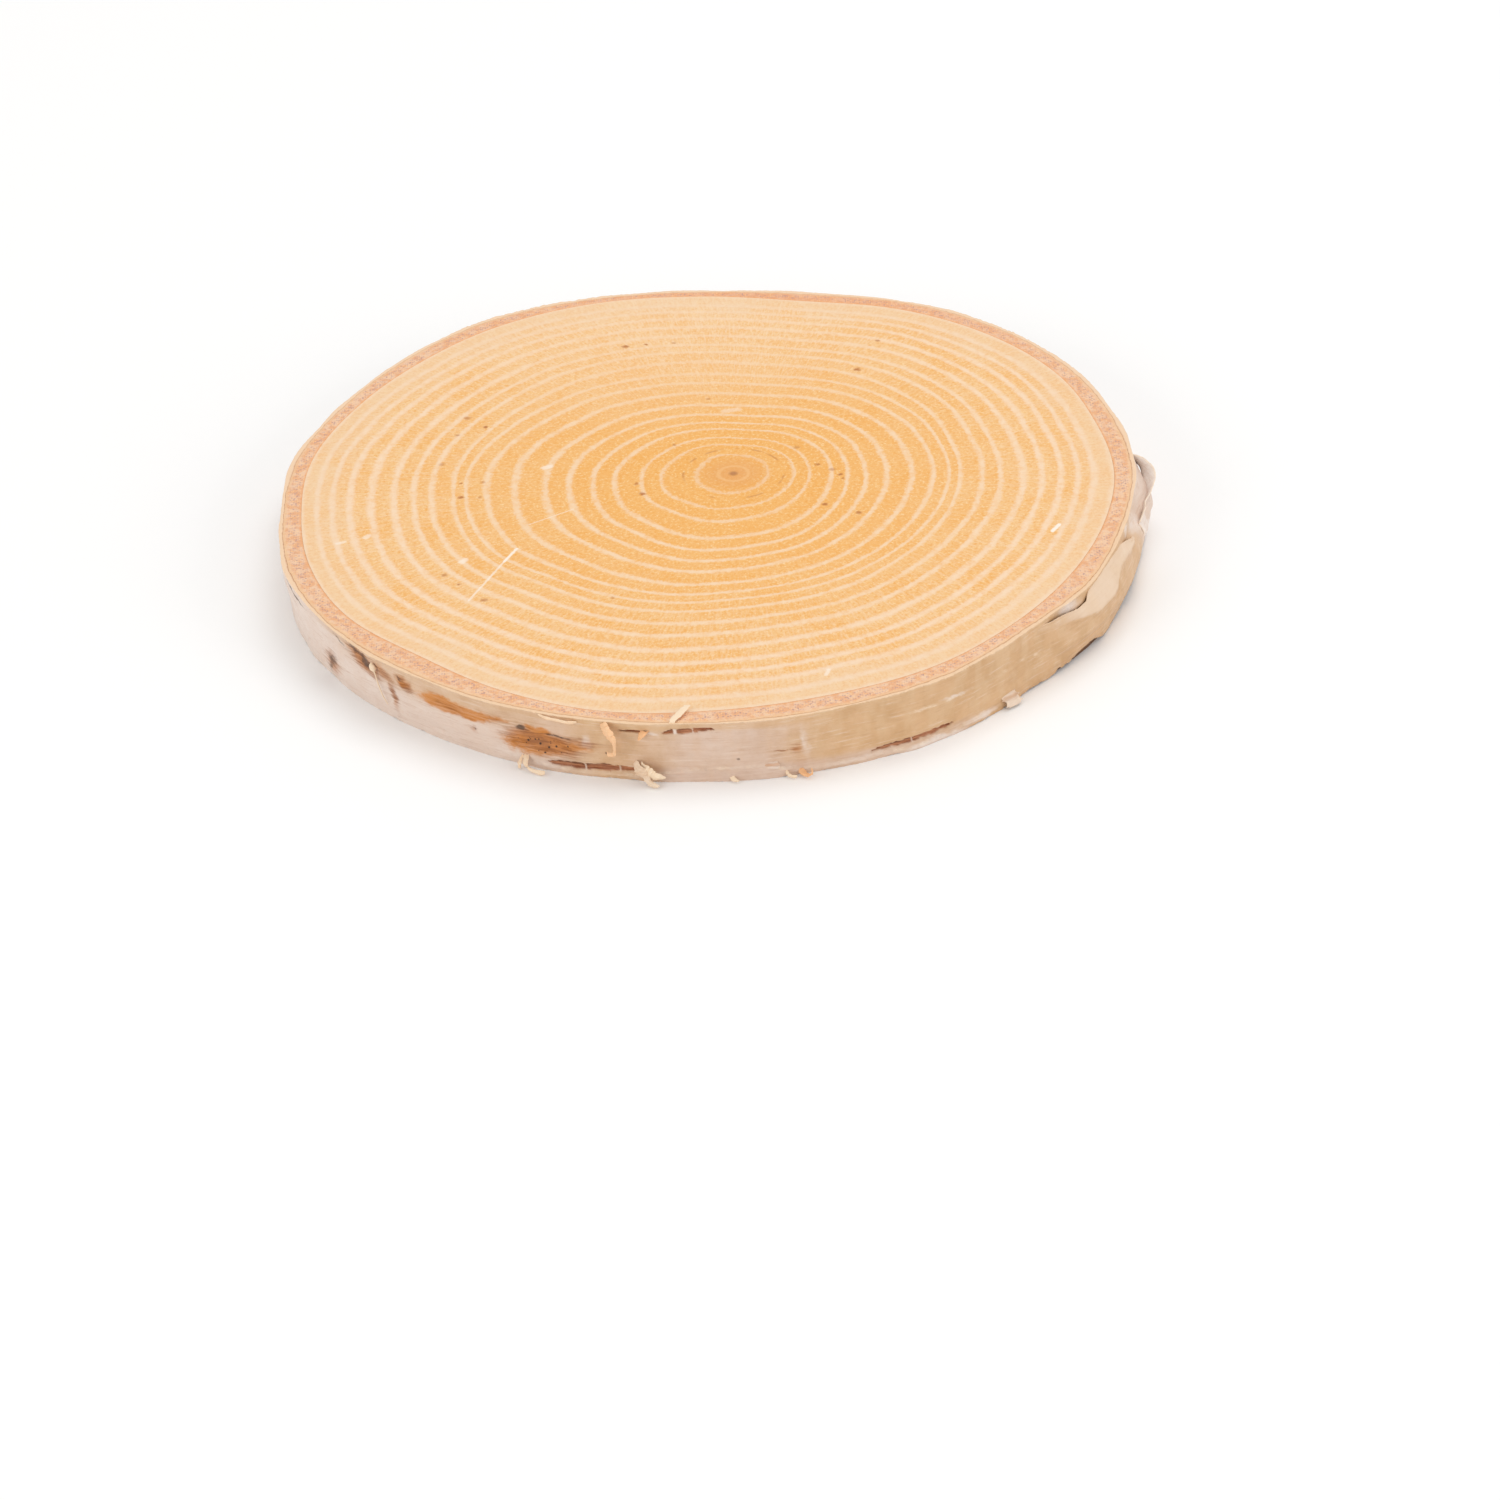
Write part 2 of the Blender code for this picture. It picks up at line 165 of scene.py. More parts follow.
# How cream and waxy the outer bark is, from 0, chalky white and pink, to 1, at each angle.
TAN_ANGLES = [0, 12, 60, 170, 205, 222, 240, 248, 254, 260, 265, 274, 279, 284, 300, 340, 348, 353, 360]
TAN_SHARES = [
    0.1, 0.0, 0.0, 0.0, 0.05, 0.2, 0.3, 0.35, 0.75, 0.6,
    0.3, 0.25, 0.6, 0.85, 1.0, 0.9, 0.7, 0.4, 0.1,
]

# How much white bloom the outer bark has at each angle.
WHITE_ANGLES = [0, 12, 60, 170, 205, 222, 240, 248, 256, 262, 268, 274, 282, 345, 350, 360]
WHITE_SHARES = [0.5, 0.6, 0.7, 0.75, 0.8, 0.55, 0.45, 0.25, 0.05, 0.1, 0.15, 0.1, 0.0, 0.0, 0.4, 0.5]

# The folded sheet: angle, height of its upper edge and how far that stands out, and the same of its fold.
FOLDED_SHEET = [
    (315.5, 8.8, 0.05, 8.3, 0.2), (319, 8.8, 0.25, 7.7, 0.6), (322, 8.6, 0.35, 7.4, 0.95),
    (325, 8.0, 0.35, 6.6, 1.15), (326.8, 8.1, 0.4, 6.2, 1.35), (328.2, 8.9, 0.05, 5.9, 1.5),
    (331, 9.2, -0.3, 6.0, 1.65), (334, 9.2, -0.35, 5.9, 1.5), (335.4, 9.2, -0.35, 7.0, 1.4),
    (337, 9.2, -0.35, 7.8, 1.35), (340, 9.0, -0.3, 7.6, 1.3), (343, 8.2, 0.15, 7.0, 1.1),
    (346, 6.9, 0.5, 6.3, 0.9), (348, 6.2, 0.55, 5.9, 0.7),
]
# The standing flap: angle, height of its torn top and how far that stands out.
STANDING_FLAP = [
    (350.5, 6.8, 0.9), (352.5, 7.0, 1.1), (355, 7.2, 1.4), (357.5, 7.7, 2.0), (359.6, 8.5, 2.65),
    (361.2, 9.1, 2.5), (362.6, 9.4, 1.7), (363.8, 9.5, 0.7), (364.6, 9.4, -0.4),
]
# Torn strips that peel off the wall: angle of the root, how orange their inner side is, how sharply they
# are folded along their length, and the path from the root outwards: how far it has strayed round the bark,
# its height, its distance out, the tilt of its breadth and the breadth.
CURLS = {
    "rim_strip": (255.6, 0.75, 0.5, [
        (-0.6, 9.2, -0.4, 30, 1.0), (0.0, 8.8, 0.6, 35, 1.7), (0.7, 8.2, 1.4, 30, 1.6),
        (1.1, 7.4, 1.7, 10, 0.8), (1.0, 6.4, 1.5, 0, 0.45), (0.9, 5.5, 1.3, -10, 0.4),
        (0.5, 4.8, 1.1, -50, 0.6), (-0.4, 4.6, 0.8, -80, 0.6)]),
    "split_strip": (259.8, 0.9, 0.4, [
        (0.5, 8.4, -0.3, 0, 1.3), (0.2, 8.0, 0.5, 10, 0.9), (-0.3, 7.4, 0.9, 20, 0.35)]),
    "rim_flake": (264.6, 0.4, 0.05, [
        (-0.9, 9.2, -0.6, 0, 0.6), (-0.7, 9.75, -0.9, 0, 1.0), (0.3, 10.0, -2.6, 0, 1.15),
        (1.2, 10.15, -4.2, 0, 0.9)]),
    "lower_tatter": (245.4, 0.45, 0.5, [
        (-1.7, 1.9, -0.3, 0, 0.7), (-1.6, 1.3, 0.7, 0, 0.9), (-1.2, 0.8, 1.2, -20, 0.8),
        (-0.2, 0.5, 1.5, -60, 0.6), (0.9, 0.5, 1.7, -85, 0.7), (1.6, 0.55, 1.6, -90, 0.4)]),
    "lower_tatter_end": (244.2, 0.5, 0.4, [
        (-0.9, 1.7, -0.2, 0, 0.5), (-1.1, 1.0, 0.9, 10, 0.6), (-1.0, 0.3, 1.3, 15, 0.45)]),
    "lower_curl": (259.6, 0.15, 0.35, [
        (-1.5, 2.9, -0.4, 55, 0.9), (-0.9, 2.5, 0.7, 45, 1.7), (-0.3, 2.1, 1.2, 30, 1.9),
        (0.1, 1.5, 1.3, 0, 1.1), (0.3, 1.0, 1.4, 5, 1.0), (0.9, 0.6, 1.7, 25, 1.2),
        (1.5, 0.3, 1.9, 30, 1.0)]),
    "lower_curl_end": (260.5, 0.3, 0.35, [
        (-1.5, 2.9, 0.1, 80, 0.8), (-0.6, 2.4, 0.9, 65, 1.7), (0.4, 1.8, 1.3, 55, 1.6),
        (1.6, 1.3, 1.1, 45, 0.5)]),
    "rim_chip_left": (249.2, 0.55, 0.3, [
        (-2.8, 9.25, -0.1, 90, 0.3), (-1.4, 9.2, 0.35, 85, 0.6), (0.2, 9.1, 0.4, 90, 0.45),
        (1.6, 9.0, 0.45, 80, 0.6), (2.8, 8.95, 0.0, 90, 0.3)]),
    "small_curl": (278.5, 0.9, 0.5, [
        (0.3, 0.9, -0.4, 0, 0.8), (0.5, 0.6, 0.8, 10, 1.0), (1.1, 0.6, 1.4, 45, 0.7),
        (1.6, 1.0, 1.5, 80, 0.5), (1.6, 1.4, 1.2, 100, 0.35)]),
    "small_curl_end": (277.6, 0.4, 0.4, [
        (-0.9, 0.9, -0.3, 60, 0.5), (-0.4, 0.55, 0.8, 60, 0.6), (0.4, 0.4, 1.1, 60, 0.5)]),
    "torn_tag": (275.2, 0.05, 0.1, [
        (0.0, 2.5, -0.3, 0, 1.9), (0.2, 2.0, 0.22, 0, 1.7), (0.5, 1.6, 0.3, 0, 0.9)]),
    "bottom_tag": (270.4, 0.4, 0.3, [
        (-0.5, 0.9, -0.3, 20, 0.7), (0.0, 0.5, 0.5, 20, 0.8), (0.5, 0.35, 0.7, 20, 0.4)]),
    "lower_flap": (309.5, 0.1, 0.12, [
        (0.0, 1.9, -0.2, 0, 3.2), (0.2, 1.2, 0.6, 0, 3.0), (0.3, 0.4, 1.1, 0, 2.2)]),
    "back_strip": (62.0, 0.6, 0.2, [
        (0.0, 7.6, -0.4, 0, 3.2), (0.3, 6.9, 0.9, 0, 3.3), (0.9, 5.8, 2.0, 6, 2.9),
        (1.7, 4.4, 2.1, 10, 2.3), (2.2, 3.5, 1.2, 12, 1.6)]),
    "back_scroll": (104.0, 0.7, 0.1, [
        (0.0, 2.4, -0.4, 0, 2.4), (0.0, 3.4, 0.9, 0, 2.5), (-0.4, 4.6, 1.7, 0, 2.2),
        (-0.6, 5.6, 1.2, 0, 1.5)]),
    "back_tatter": (166.0, 0.5, 0.2, [
        (0.0, 3.0, -0.4, 0, 2.0), (0.3, 2.2, 0.8, 0, 1.9), (0.6, 1.2, 1.5, -8, 1.1)]),
}
# Threads of bast on the wall: angle and the path down it: stray round the bark, height, distance out and
# radius.
THREADS = {
    "bud_thread": (220.7, [
        (-0.5, 8.5, 0.25, 0.16), (-0.3, 8.2, 0.45, 0.4), (0.0, 7.8, 0.5, 0.45), (0.1, 7.3, 0.5, 0.12),
        (0.2, 6.2, 0.45, 0.1), (0.3, 5.0, 0.4, 0.1), (0.8, 3.6, 0.45, 0.09), (1.3, 2.3, 0.3, 0.06)]),
}
# The angle of the standing flap's crease, how thick loose sheets and curls are, and how much of that their
# torn edges keep.
FLAP_CREASE = 355.4
PAPER_SHEET = 0.24
CURL_SHEET = 0.8 * PAPER_SHEET
TORN_THINNING = 0.35

# What the paper's look reads at each point.
PAPER_VALUES = ("tan", "dark", "stain", "orange", "white", "split", "torn", "cut", "fresh", "specks")

# The pith lies off the middle. How far the pale line that ends each year lies from it, at four angles.
PITH = (3.7, 5.2)
YEAR_LINES = {
    0: [
        5.0, 9.0, 11.1, 14.5, 16.8, 19.4, 22.4, 26.0, 29.3,
        31.6, 33.1, 36.5, 39.0, 42.3, 45.0, 47.8, 50.2, 52.3,
    ],
    90: [
        5.6, 8.7, 10.7, 13.4, 15.3, 17.7, 20.7, 24.3, 27.6,
        30.3, 34.2, 37.4, 39.7, 42.6, 45.4, 48.1, 50.4, 52.4,
    ],
    180: [
        5.4, 10.7, 13.5, 17.4, 20.6, 24.2, 27.7, 32.2, 36.3,
        39.4, 41.1, 44.4, 46.9, 49.8, 53.2, 56.3, 58.8, 61.0,
    ],
    270: [
        5.9, 10.0, 13.4, 18.4, 21.6, 24.5, 27.4, 31.0, 33.6,
        35.7, 38.2, 41.4, 44.5, 48.4, 52.0, 54.9, 57.8, 61.3,
    ],
}
YEARS = len(YEAR_LINES[0]) + 1
# A faint ring and the brown arcs about the pith: their radii.
PITH_RINGS = (2.2, 7.4)
# The far side of the face, where the years are hazier.
FAR_ANGLE = 98.0
FAR_HALF_ANGLE = 62.0

# How finely the pieces are divided. HAIR, in mm, keeps neighbours apart by too little to see, and STRIP_GAP
# parts the strips of a map by a share of a strip.
ROWS_PER_YEAR = 4
FACE_COLUMNS = 360
BARK_COLUMNS = 720
PAPER_COLUMNS = 1536
WALL_ROWS = 50
WALL_THIRDS = (0.33, 0.66)
HAIR = 0.01
SHARP_DEGREES = 50
STRIP_GAP = 0.03

# Small brown pith flecks on the upper face, in mm from the pith.
FLECKS = [
    (-14.3, -1.5), (-13.5, -4.6), (-8.5, 9.5), (9.6, 6.8), (12.4, 1.4), (15.6, -1.9), (14.5, -0.3),
    (16.0, -3.1), (13.0, -10.4), (17.8, -13.3), (-3.1, 22.9), (-39.3, 20.9), (-36.6, 17.8), (-40.8, 15.8),
    (-42.9, 7.3), (-40.0, 1.3), (-40.0, -2.8), (-36.9, 1.3), (-37.2, -3.1), (-15.3, 40.8), (-12.2, 41.1),
    (-7.9, 41.2), (-42.1, -24.9), (-40.0, -27.6), (-36.4, -32.4), (-18.1, -33.6), (23.2, 38.5),
    (19.7, 29.7),
]
# Pale scratches and specks: both ends in mm from the pith, half width and strength.
SCRATCHES = [
    ((-31.8, -18.5), (-33.6, -22.0), 0.20, 0.9), ((-33.2, -21.2), (-38.6, -32.4), 0.17, 0.6),
    ((-23.6, -8.0), (-29.9, -11.7), 0.14, 0.4), ((-57.8, -14.4), (-56.7, -14.0), 0.3, 0.5),
    ((45.2, -21.4), (46.3, -19.7), 0.3, 1.0), ((-39.7, -21.5), (-39.2, -20.9), 0.5, 0.6),
    ((-27.8, 4.6), (-27.0, 4.9), 0.5, 0.6), ((-0.7, 18.9), (1.2, 19.2), 0.55, 0.35),
    ((-53.7, -13.1), (-53.3, -12.6), 0.45, 0.5), ((11.1, -57.2), (11.5, -56.0), 0.3, 0.6),
]

# The floor and the soft light: where each box stands, in metres, its size and its power.
FLOOR_HALF = 4.0
SKY_COLOUR = (1.0, 0.99, 0.975, 1.0)
SKY_STRENGTH = 0.68
SOFTBOXES = {
    "overhead softbox": ((0.25, 0.35, 1.1), 0.9, 4.4),
    "right softbox": ((1.0, -0.7, 0.5), 0.8, 4.2),
    "left softbox": ((-1.0, -0.75, 0.5), 0.8, 4.6),
}

# The photograph's frame and the camera.
PHOTO_PIXELS = 1500
CAMERA_DISTANCE = 0.8
CAMERA_ELEVATION = 30.0
CAMERA_ROLL = -3.0
PIXELS_PER_METRE = 6866.0
AIM_PIXEL = (708.0, 503.0)
AIM_POINT = (-0.26, -3.05, THICKNESS)
SENSOR_MM = 36.0

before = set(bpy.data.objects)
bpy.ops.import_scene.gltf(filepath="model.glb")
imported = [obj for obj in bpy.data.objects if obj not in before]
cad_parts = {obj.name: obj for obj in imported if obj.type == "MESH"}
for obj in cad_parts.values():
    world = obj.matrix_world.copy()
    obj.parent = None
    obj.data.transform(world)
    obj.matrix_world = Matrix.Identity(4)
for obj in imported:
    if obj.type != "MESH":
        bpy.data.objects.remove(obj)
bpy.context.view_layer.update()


def srgb(red, green, blue):
    """A linear colour from the usual 0 to 255 numbers."""
    parts = np.array([red, green, blue]) / 255.0
    linear = np.where(parts <= 0.04045, parts / 12.92, ((parts + 0.055) / 1.055) ** 2.4)
    return (*linear.tolist(), 1.0)


def even_angles(count):
    """Evenly spaced angles round the slice, from 0."""
    return np.arange(count) * 360.0 / count


def spline(before, start, end, after, t):
    """The smooth path from start to end at t, from 0 to 1, given its neighbours before and after."""
    square = 2 * before - 5 * start + 4 * end - after
    cube = 3 * start - before - 3 * end + after
    return 0.5 * (2 * start + (end - before) * t + (square * t**2 + cube * t**3))


def smooth_radius(radii, angle):
    """The radius in mm at each angle, on the smooth closed curve through evenly spaced radii."""
    table = np.array(radii)
    place = np.asarray(angle, float) % 360.0 / 360.0 * len(table)
    first = place.astype(int)
    return spline(*(table[(first + k) % len(table)] for k in (-1, 0, 1, 2)), place - first)


def leaning_points(radius, angle, up):
    """Points at a radius, angle and height, moved by the log's lean at that height."""
    turn = np.radians(angle)
    lean = 1.0 - np.asarray(up) / THICKNESS
    x = radius * np.cos(turn) + LEAN[0] * lean
    y = radius * np.sin(turn) + LEAN[1] * lean
    return np.stack(np.broadcast_arrays(x, y, up), -1)


def middle_of_part():
    """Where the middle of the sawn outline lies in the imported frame, in mm, from the box of the CAD wood."""
    angle = even_angles(WOOD_STEPS)
    radius = smooth_radius(WOOD_RADII, angle) - SEAM / 2
    own = np.concatenate([leaning_points(radius, angle, up) for up in (0.0, THICKNESS)])
    low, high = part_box("wood")
    packed_middle = (np.array(low) + np.array(high)) / 2 / MM
    return packed_middle - (own.min(0) + own.max(0)) / 2


MIDDLE = middle_of_part()


def bump(distance):
    """1 at no distance, falling smoothly to 0 at a distance of 1."""
    return (1.0 - np.minimum(np.abs(distance), 1.0) ** 2) ** 2


def smooth_step(value, low, high):
    """0 at low and before it, 1 at high and past it, and smooth between them."""
    t = np.clip((value - low) / (high - low), 0.0, 1.0)
    return t * t * (3 - 2 * t)


def turn_from(angle, centre):
    """How far each angle lies from a centre angle, from -180 to 180 degrees."""
    return (angle - centre + 180.0) % 360.0 - 180.0


def round_mm(angle, centre):
    """How far each angle lies round the bark from a centre angle, in mm."""
    return np.radians(turn_from(angle, centre)) * smooth_radius(RIM_RADII, centre)


def patch(angle, up, centre, level, half_width, half_height):
    """1 at the middle of an oval patch of the wall, falling smoothly to 0 at its edge."""
    return bump(np.hypot(round_mm(angle, centre) / half_width, (up - level) / half_height))


def wall_noise(angle, up, *layers):
    """Noise on the bark's wall that closes on itself round the slice, as the sum of layers: the size of each,
    how fast it changes round the slice and up it, and a number that tells it from the others."""
    turn = np.radians(angle)
    total = 0.0
    for size, round_rate, up_rate, kind in layers:
        parts = (np.cos(turn) * round_rate, np.sin(turn) * round_rate, up * up_rate + kind)
        points = np.stack(np.broadcast_arrays(*parts), -1)
        values = [noise.noise(point) for point in points.reshape(-1, 3).tolist()]
        total = total + size * np.array(values).reshape(points.shape[:-1])
    return total


def line_noise(place, *layers):
    """Noise along a line, as the sum of layers: the size and rate of each, and two numbers of its own."""
    return sum(size * noise.noise((place * rate, one, two)) for size, rate, one, two in layers)


def new_piece(name, points, faces, corner_map, values, look):
    """A shown piece: its points in mm, its faces, the map of its faces' corners and its values per point."""
    mesh = bpy.data.meshes.new(name)
    mesh.from_pydata(((points + MIDDLE) * MM).tolist(), [], faces)
    mesh.uv_layers.new(name="OFBake").uv.foreach_set("vector", corner_map.astype(np.float32).ravel())
    for key, value in dict(values, place=points).items():
        kind, field = ("FLOAT_VECTOR", "vector") if value.ndim == 2 else ("FLOAT", "value")
        mesh.attributes.new(key, kind, "POINT").data.foreach_set(field, value.ravel())
    mesh.materials.append(look)
    mesh.shade_smooth()
    mesh.set_sharp_from_angle(angle=math.radians(SHARP_DEGREES))
    obj = bpy.data.objects.new(name, mesh)
    bpy.context.scene.collection.objects.link(obj)
    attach(obj, BODY)
    return obj


def ring_faces(columns, rows):
    """The faces of a ring of columns whose rows close on themselves, and each corner's column and row."""
    column, row = (part.reshape(-1, 1) for part in np.indices((columns, rows)))
    corner_column = column + np.array([0, 0, 1, 1])
    corner_row = row + np.array([0, 1, 1, 0])
    faces = corner_column % columns * rows + corner_row % rows
    return faces.tolist(), corner_column, corner_row


def strip_map(corner_column, corner_row, columns, strips, row_lengths):
    """A map of a ring cut into strips that lie above each other, true to the lengths between its rows."""
    per_strip = columns // strips
    strip = corner_column[:, :1] // per_strip
    across = (corner_column - strip * per_strip) / per_strip
    places = np.concatenate([[0.0], np.cumsum(row_lengths)])
    pitch = (1.0 + STRIP_GAP) * places[-1]
    upward = (strip * pitch + places[corner_row]) / (strips * pitch)
    return np.stack([across, upward], -1).reshape(-1, 2)


class Look:
    """A material's node tree, with its colour so far and short calls for the nodes that looks are made of.
    A colour is a socket or the usual 0 to 255 numbers."""

    def __init__(self, name, roughness, specular):
        self.material = bpy.data.materials.new(name)
        self.material.use_nodes = True
        self.tree = self.material.node_tree
        self.shader = self.tree.nodes["Principled BSDF"]
        self.shader.inputs["Roughness"].default_value = roughness
        self.shader.inputs["Specular IOR Level"].default_value = specular
        self.colour = None

    def add(self, kind, inputs=(), **settings):
        """A new node with these settings, fed in order from sockets or constants; None leaves one be."""
        node = self.tree.nodes.new(kind)
        for key, value in settings.items():
            setattr(node, key, value)
        for socket, value in zip(node.inputs, inputs):
            self.feed(socket, value)
        return node

    def feed(self, socket, value):
        if isinstance(value, bpy.types.NodeSocket):
            self.tree.links.new(value, socket)
        elif value is not None:
            socket.default_value = value

    def value(self, name):
        return self.add("ShaderNodeAttribute", attribute_name=name).outputs["Fac"]

    def vector(self, name):
        return self.add("ShaderNodeAttribute", attribute_name=name).outputs["Vector"]

    def maths(self, operation, *values, clamp=False):
        return self.add("ShaderNodeMath", values, operation=operation, use_clamp=clamp).outputs[0]

    def plus(self, first, second):
        return self.maths("ADD", first, second)

    def times(self, product, *values):
        for value in values:
            product = self.maths("MULTIPLY", product, value)
        return product

    def strayed(self, value, stray, spread):
        """A value moved by noise about 0.5, by up to half the spread either way."""
        return self.plus(value, self.maths("MULTIPLY_ADD", stray, spread, -spread / 2))

    def vectors(self, operation, *inputs, output="Vector"):
        return self.add("ShaderNodeVectorMath", inputs, operation=operation).outputs[output]

    def noise(self, vector, scale, detail=2.0, roughness=0.5, stretch=None):
        """Noise about 0.5 that changes scale times in a mm, or faster along the axes that are stretched."""
        if stretch:
            vector = self.vectors("MULTIPLY", vector, stretch)
        return self.add("ShaderNodeTexNoise", (vector, None, scale, detail, roughness)).outputs["Fac"]

    def cells(self, vector, scale):
        """Random cells: the distance from the middle of each, and a random number that each has."""
        node = self.add("ShaderNodeTexVoronoi", (vector, None, scale))
        colour = self.add("ShaderNodeSeparateColor", (node.outputs["Color"],))
        return node.outputs["Distance"], colour.outputs[0]

    def ease(self, value, low, high, to_low=0.0, to_high=1.0):
        """to_low at low and to_high at high, smooth between them and level outside. low may be the larger."""
        if low > high:
            low, high, to_low, to_high = high, low, to_high, to_low
        inputs = (value, low, high, to_low, to_high)
        return self.add("ShaderNodeMapRange", inputs, interpolation_type="SMOOTHSTEP").outputs[0]

    def blend(self, share, first, second):
        node = self.add("ShaderNodeMix", data_type="RGBA", clamp_factor=True)
        for key, value in (("Factor", share), (6, first), (7, second)):
            self.feed(node.inputs[key], srgb(*value) if isinstance(value, tuple) else value)
        return node.outputs[2]

    def paint(self, share, over):
        """Lays a colour over the look's own, by a share from 0 to 1."""
        self.colour = self.blend(share, self.colour, over)

    def finish(self, relief, strength, depth_mm, roughness=None):
        """Feeds the shader the colour, the bump of a relief value and, if given, the roughness."""
        bumps = self.add("ShaderNodeBump")
        bumps.inputs["Strength"].default_value = strength
        bumps.inputs["Distance"].default_value = depth_mm * MM
        self.feed(bumps.inputs["Height"], relief)
        self.feed(self.shader.inputs["Base Color"], self.colour)
        self.feed(self.shader.inputs["Normal"], bumps.outputs[0])
        if roughness is not None:
            self.feed(self.shader.inputs["Roughness"], roughness)
        return self.material


def wavy_years(look, spot, share):
    """The years from the pith to each spot, with a slow wobble, a finer one that grows outwards, and fuzz."""
    fine = look.maths("SUBTRACT", look.noise(spot, 0.42), 0.5)
    years = look.strayed(look.value("years"), look.noise(spot, 0.09, 1.0), 0.24)
    years = look.plus(years, look.times(fine, look.times(share, 0.16)))
    return look.strayed(years, look.noise(spot, 1.6, 3.0, 0.7), 0.34)


def lay_gold(look, spot, share, years, grain):
    """The gold between the lines, deepest just inside a line, with light vessels and dark pores."""
    look.colour = look.blend(look.ease(share, 0.15, 1.0), (238, 178, 99), (237, 192, 135))
    look.paint(look.ease(look.noise(spot, 0.11, 3.0), 0.4, 0.64, 0.0, 0.5), (237, 171, 83))
    deep = look.ease(look.maths("FRACT", years), 0.45, 0.92)
    look.paint(look.times(deep, look.ease(share, 1.0, 0.6, 0.3, 0.45)), (236, 170, 86))
    vessels = look.ease(look.cells(spot, 2.0)[0], 0.42, 0.14)
    clumps = look.ease(look.noise(spot, 0.7), 0.35, 0.65, 0.2, 0.8)
    look.paint(look.times(vessels, clumps), (246, 210, 156))
    look.paint(look.ease(grain, 0.5, 0.34, 0.0, 0.85), (231, 162, 76))
    look.paint(look.ease(grain, 0.52, 0.66, 0.0, 0.75), (245, 208, 152))


def year_lines(look, spot, share, blur, years):
    """Where the pale line that ends each year shows, sharper towards the pith than towards the bark."""
    width = look.ease(look.noise(spot, 0.2), 0.3, 0.7, 0.17, 0.25)
    width = look.times(width, look.ease(share, 0.0, 0.4, 0.5, 1.05), look.ease(share, 0.5, 0.95, 1.0, 1.45))
    from_line = look.maths("DIVIDE", look.maths("PINGPONG", years, 0.5), width)
    line = look.ease(look.maths("SUBTRACT", 1.0, from_line, clamp=True), 0.0, 0.85)
    patchy = look.ease(look.noise(spot, 0.6, 4.0, 0.7), 0.3, 0.62, 0.45, 0.95)
    fading = look.times(look.ease(share, 1.0, 0.7, 0.85, 1.0), look.ease(share, 0.05, 0.35, 0.7, 1.0))
    return look.times(line, patchy, look.times(fading, look.maths("MULTIPLY_ADD", blur, -0.35, 1.0)))


def fine_rays(look, spot, share):
    """Where the fine rays show that point away from the pith."""
    direction = look.vectors("MULTIPLY", look.vectors("NORMALIZE", spot), (150.0, 150.0, 0.0))
    along = look.add("ShaderNodeCombineXYZ", (None, None, look.times(share, 38.0))).outputs[0]
    return look.ease(look.noise(look.vectors("ADD", direction, along), 1.0, 2.0, 0.6), 0.42, 0.66)


def lay_pith(look, spot):
    """The pith, the darker wood and faint ring about it, and brown arcs outside the first year."""
    radius = look.vectors("LENGTH", spot, output="Value")
    from_ring, from_arc = (look.maths("ABSOLUTE", look.maths("SUBTRACT", radius, at)) for at in PITH_RINGS)
    look.paint(look.ease(radius, 7.0, 0.6, 0.0, 0.6), (226, 158, 94))
    look.paint(look.ease(from_ring, 0.45, 0.1, 0.0, 0.45), (243, 196, 138))
    look.paint(look.ease(radius, 0.95, 0.25, 0.0, 0.7), (164, 104, 60))
    broken = look.ease(look.noise(spot, 0.35, 1.0), 0.48, 0.62, 0.0, 0.6)
    look.paint(look.times(look.ease(from_arc, 0.3, 0.05), broken), (196, 128, 70))


def distance_to(look, spot, first, last):
    """How far a spot lies from the line between two points of the sawn face, in mm."""
    along = Vector((last[0] - first[0], last[1] - first[1], 0.0))
    away = look.vectors("SUBTRACT", spot, (*first, 0.0))
    share = look.vectors("DOT_PRODUCT", away, tuple(along / along.length_squared), output="Value")
    foot = look.vectors("SCALE", tuple(along), None, None, look.maths("MULTIPLY", share, 1.0, clamp=True))
    return look.vectors("LENGTH", look.vectors("SUBTRACT", away, foot), output="Value")


def lay_marks(look, spot, flecks, scratches):
    """Brown pith flecks, and over them pale scratches and specks, all with broken edges."""
    jitter = look.maths("MULTIPLY_ADD", look.noise(spot, 1.8), 0.8, -0.4)
    brown = 0.0
    for place, fleck in enumerate(flecks):
        gap = look.plus(look.vectors("DISTANCE", spot, (*fleck, 0.0), output="Value"), jitter)
        size = 0.42 + 0.12 * math.sin(2.4 * place)
        strength = 0.65 + 0.2 * math.sin(1.7 * place)
        brown = look.maths("MAXIMUM", brown, look.ease(gap, size * 1.35, size * 0.3, 0.0, strength))
    look.paint(brown, (178, 104, 48))
    for first, last, half_width, strength in scratches:
        gap = look.plus(distance_to(look, spot, first, last), look.times(jitter, 0.4))
        look.paint(look.ease(gap, half_width * 1.5, half_width * 0.5, 0.0, strength), (247, 236, 222))


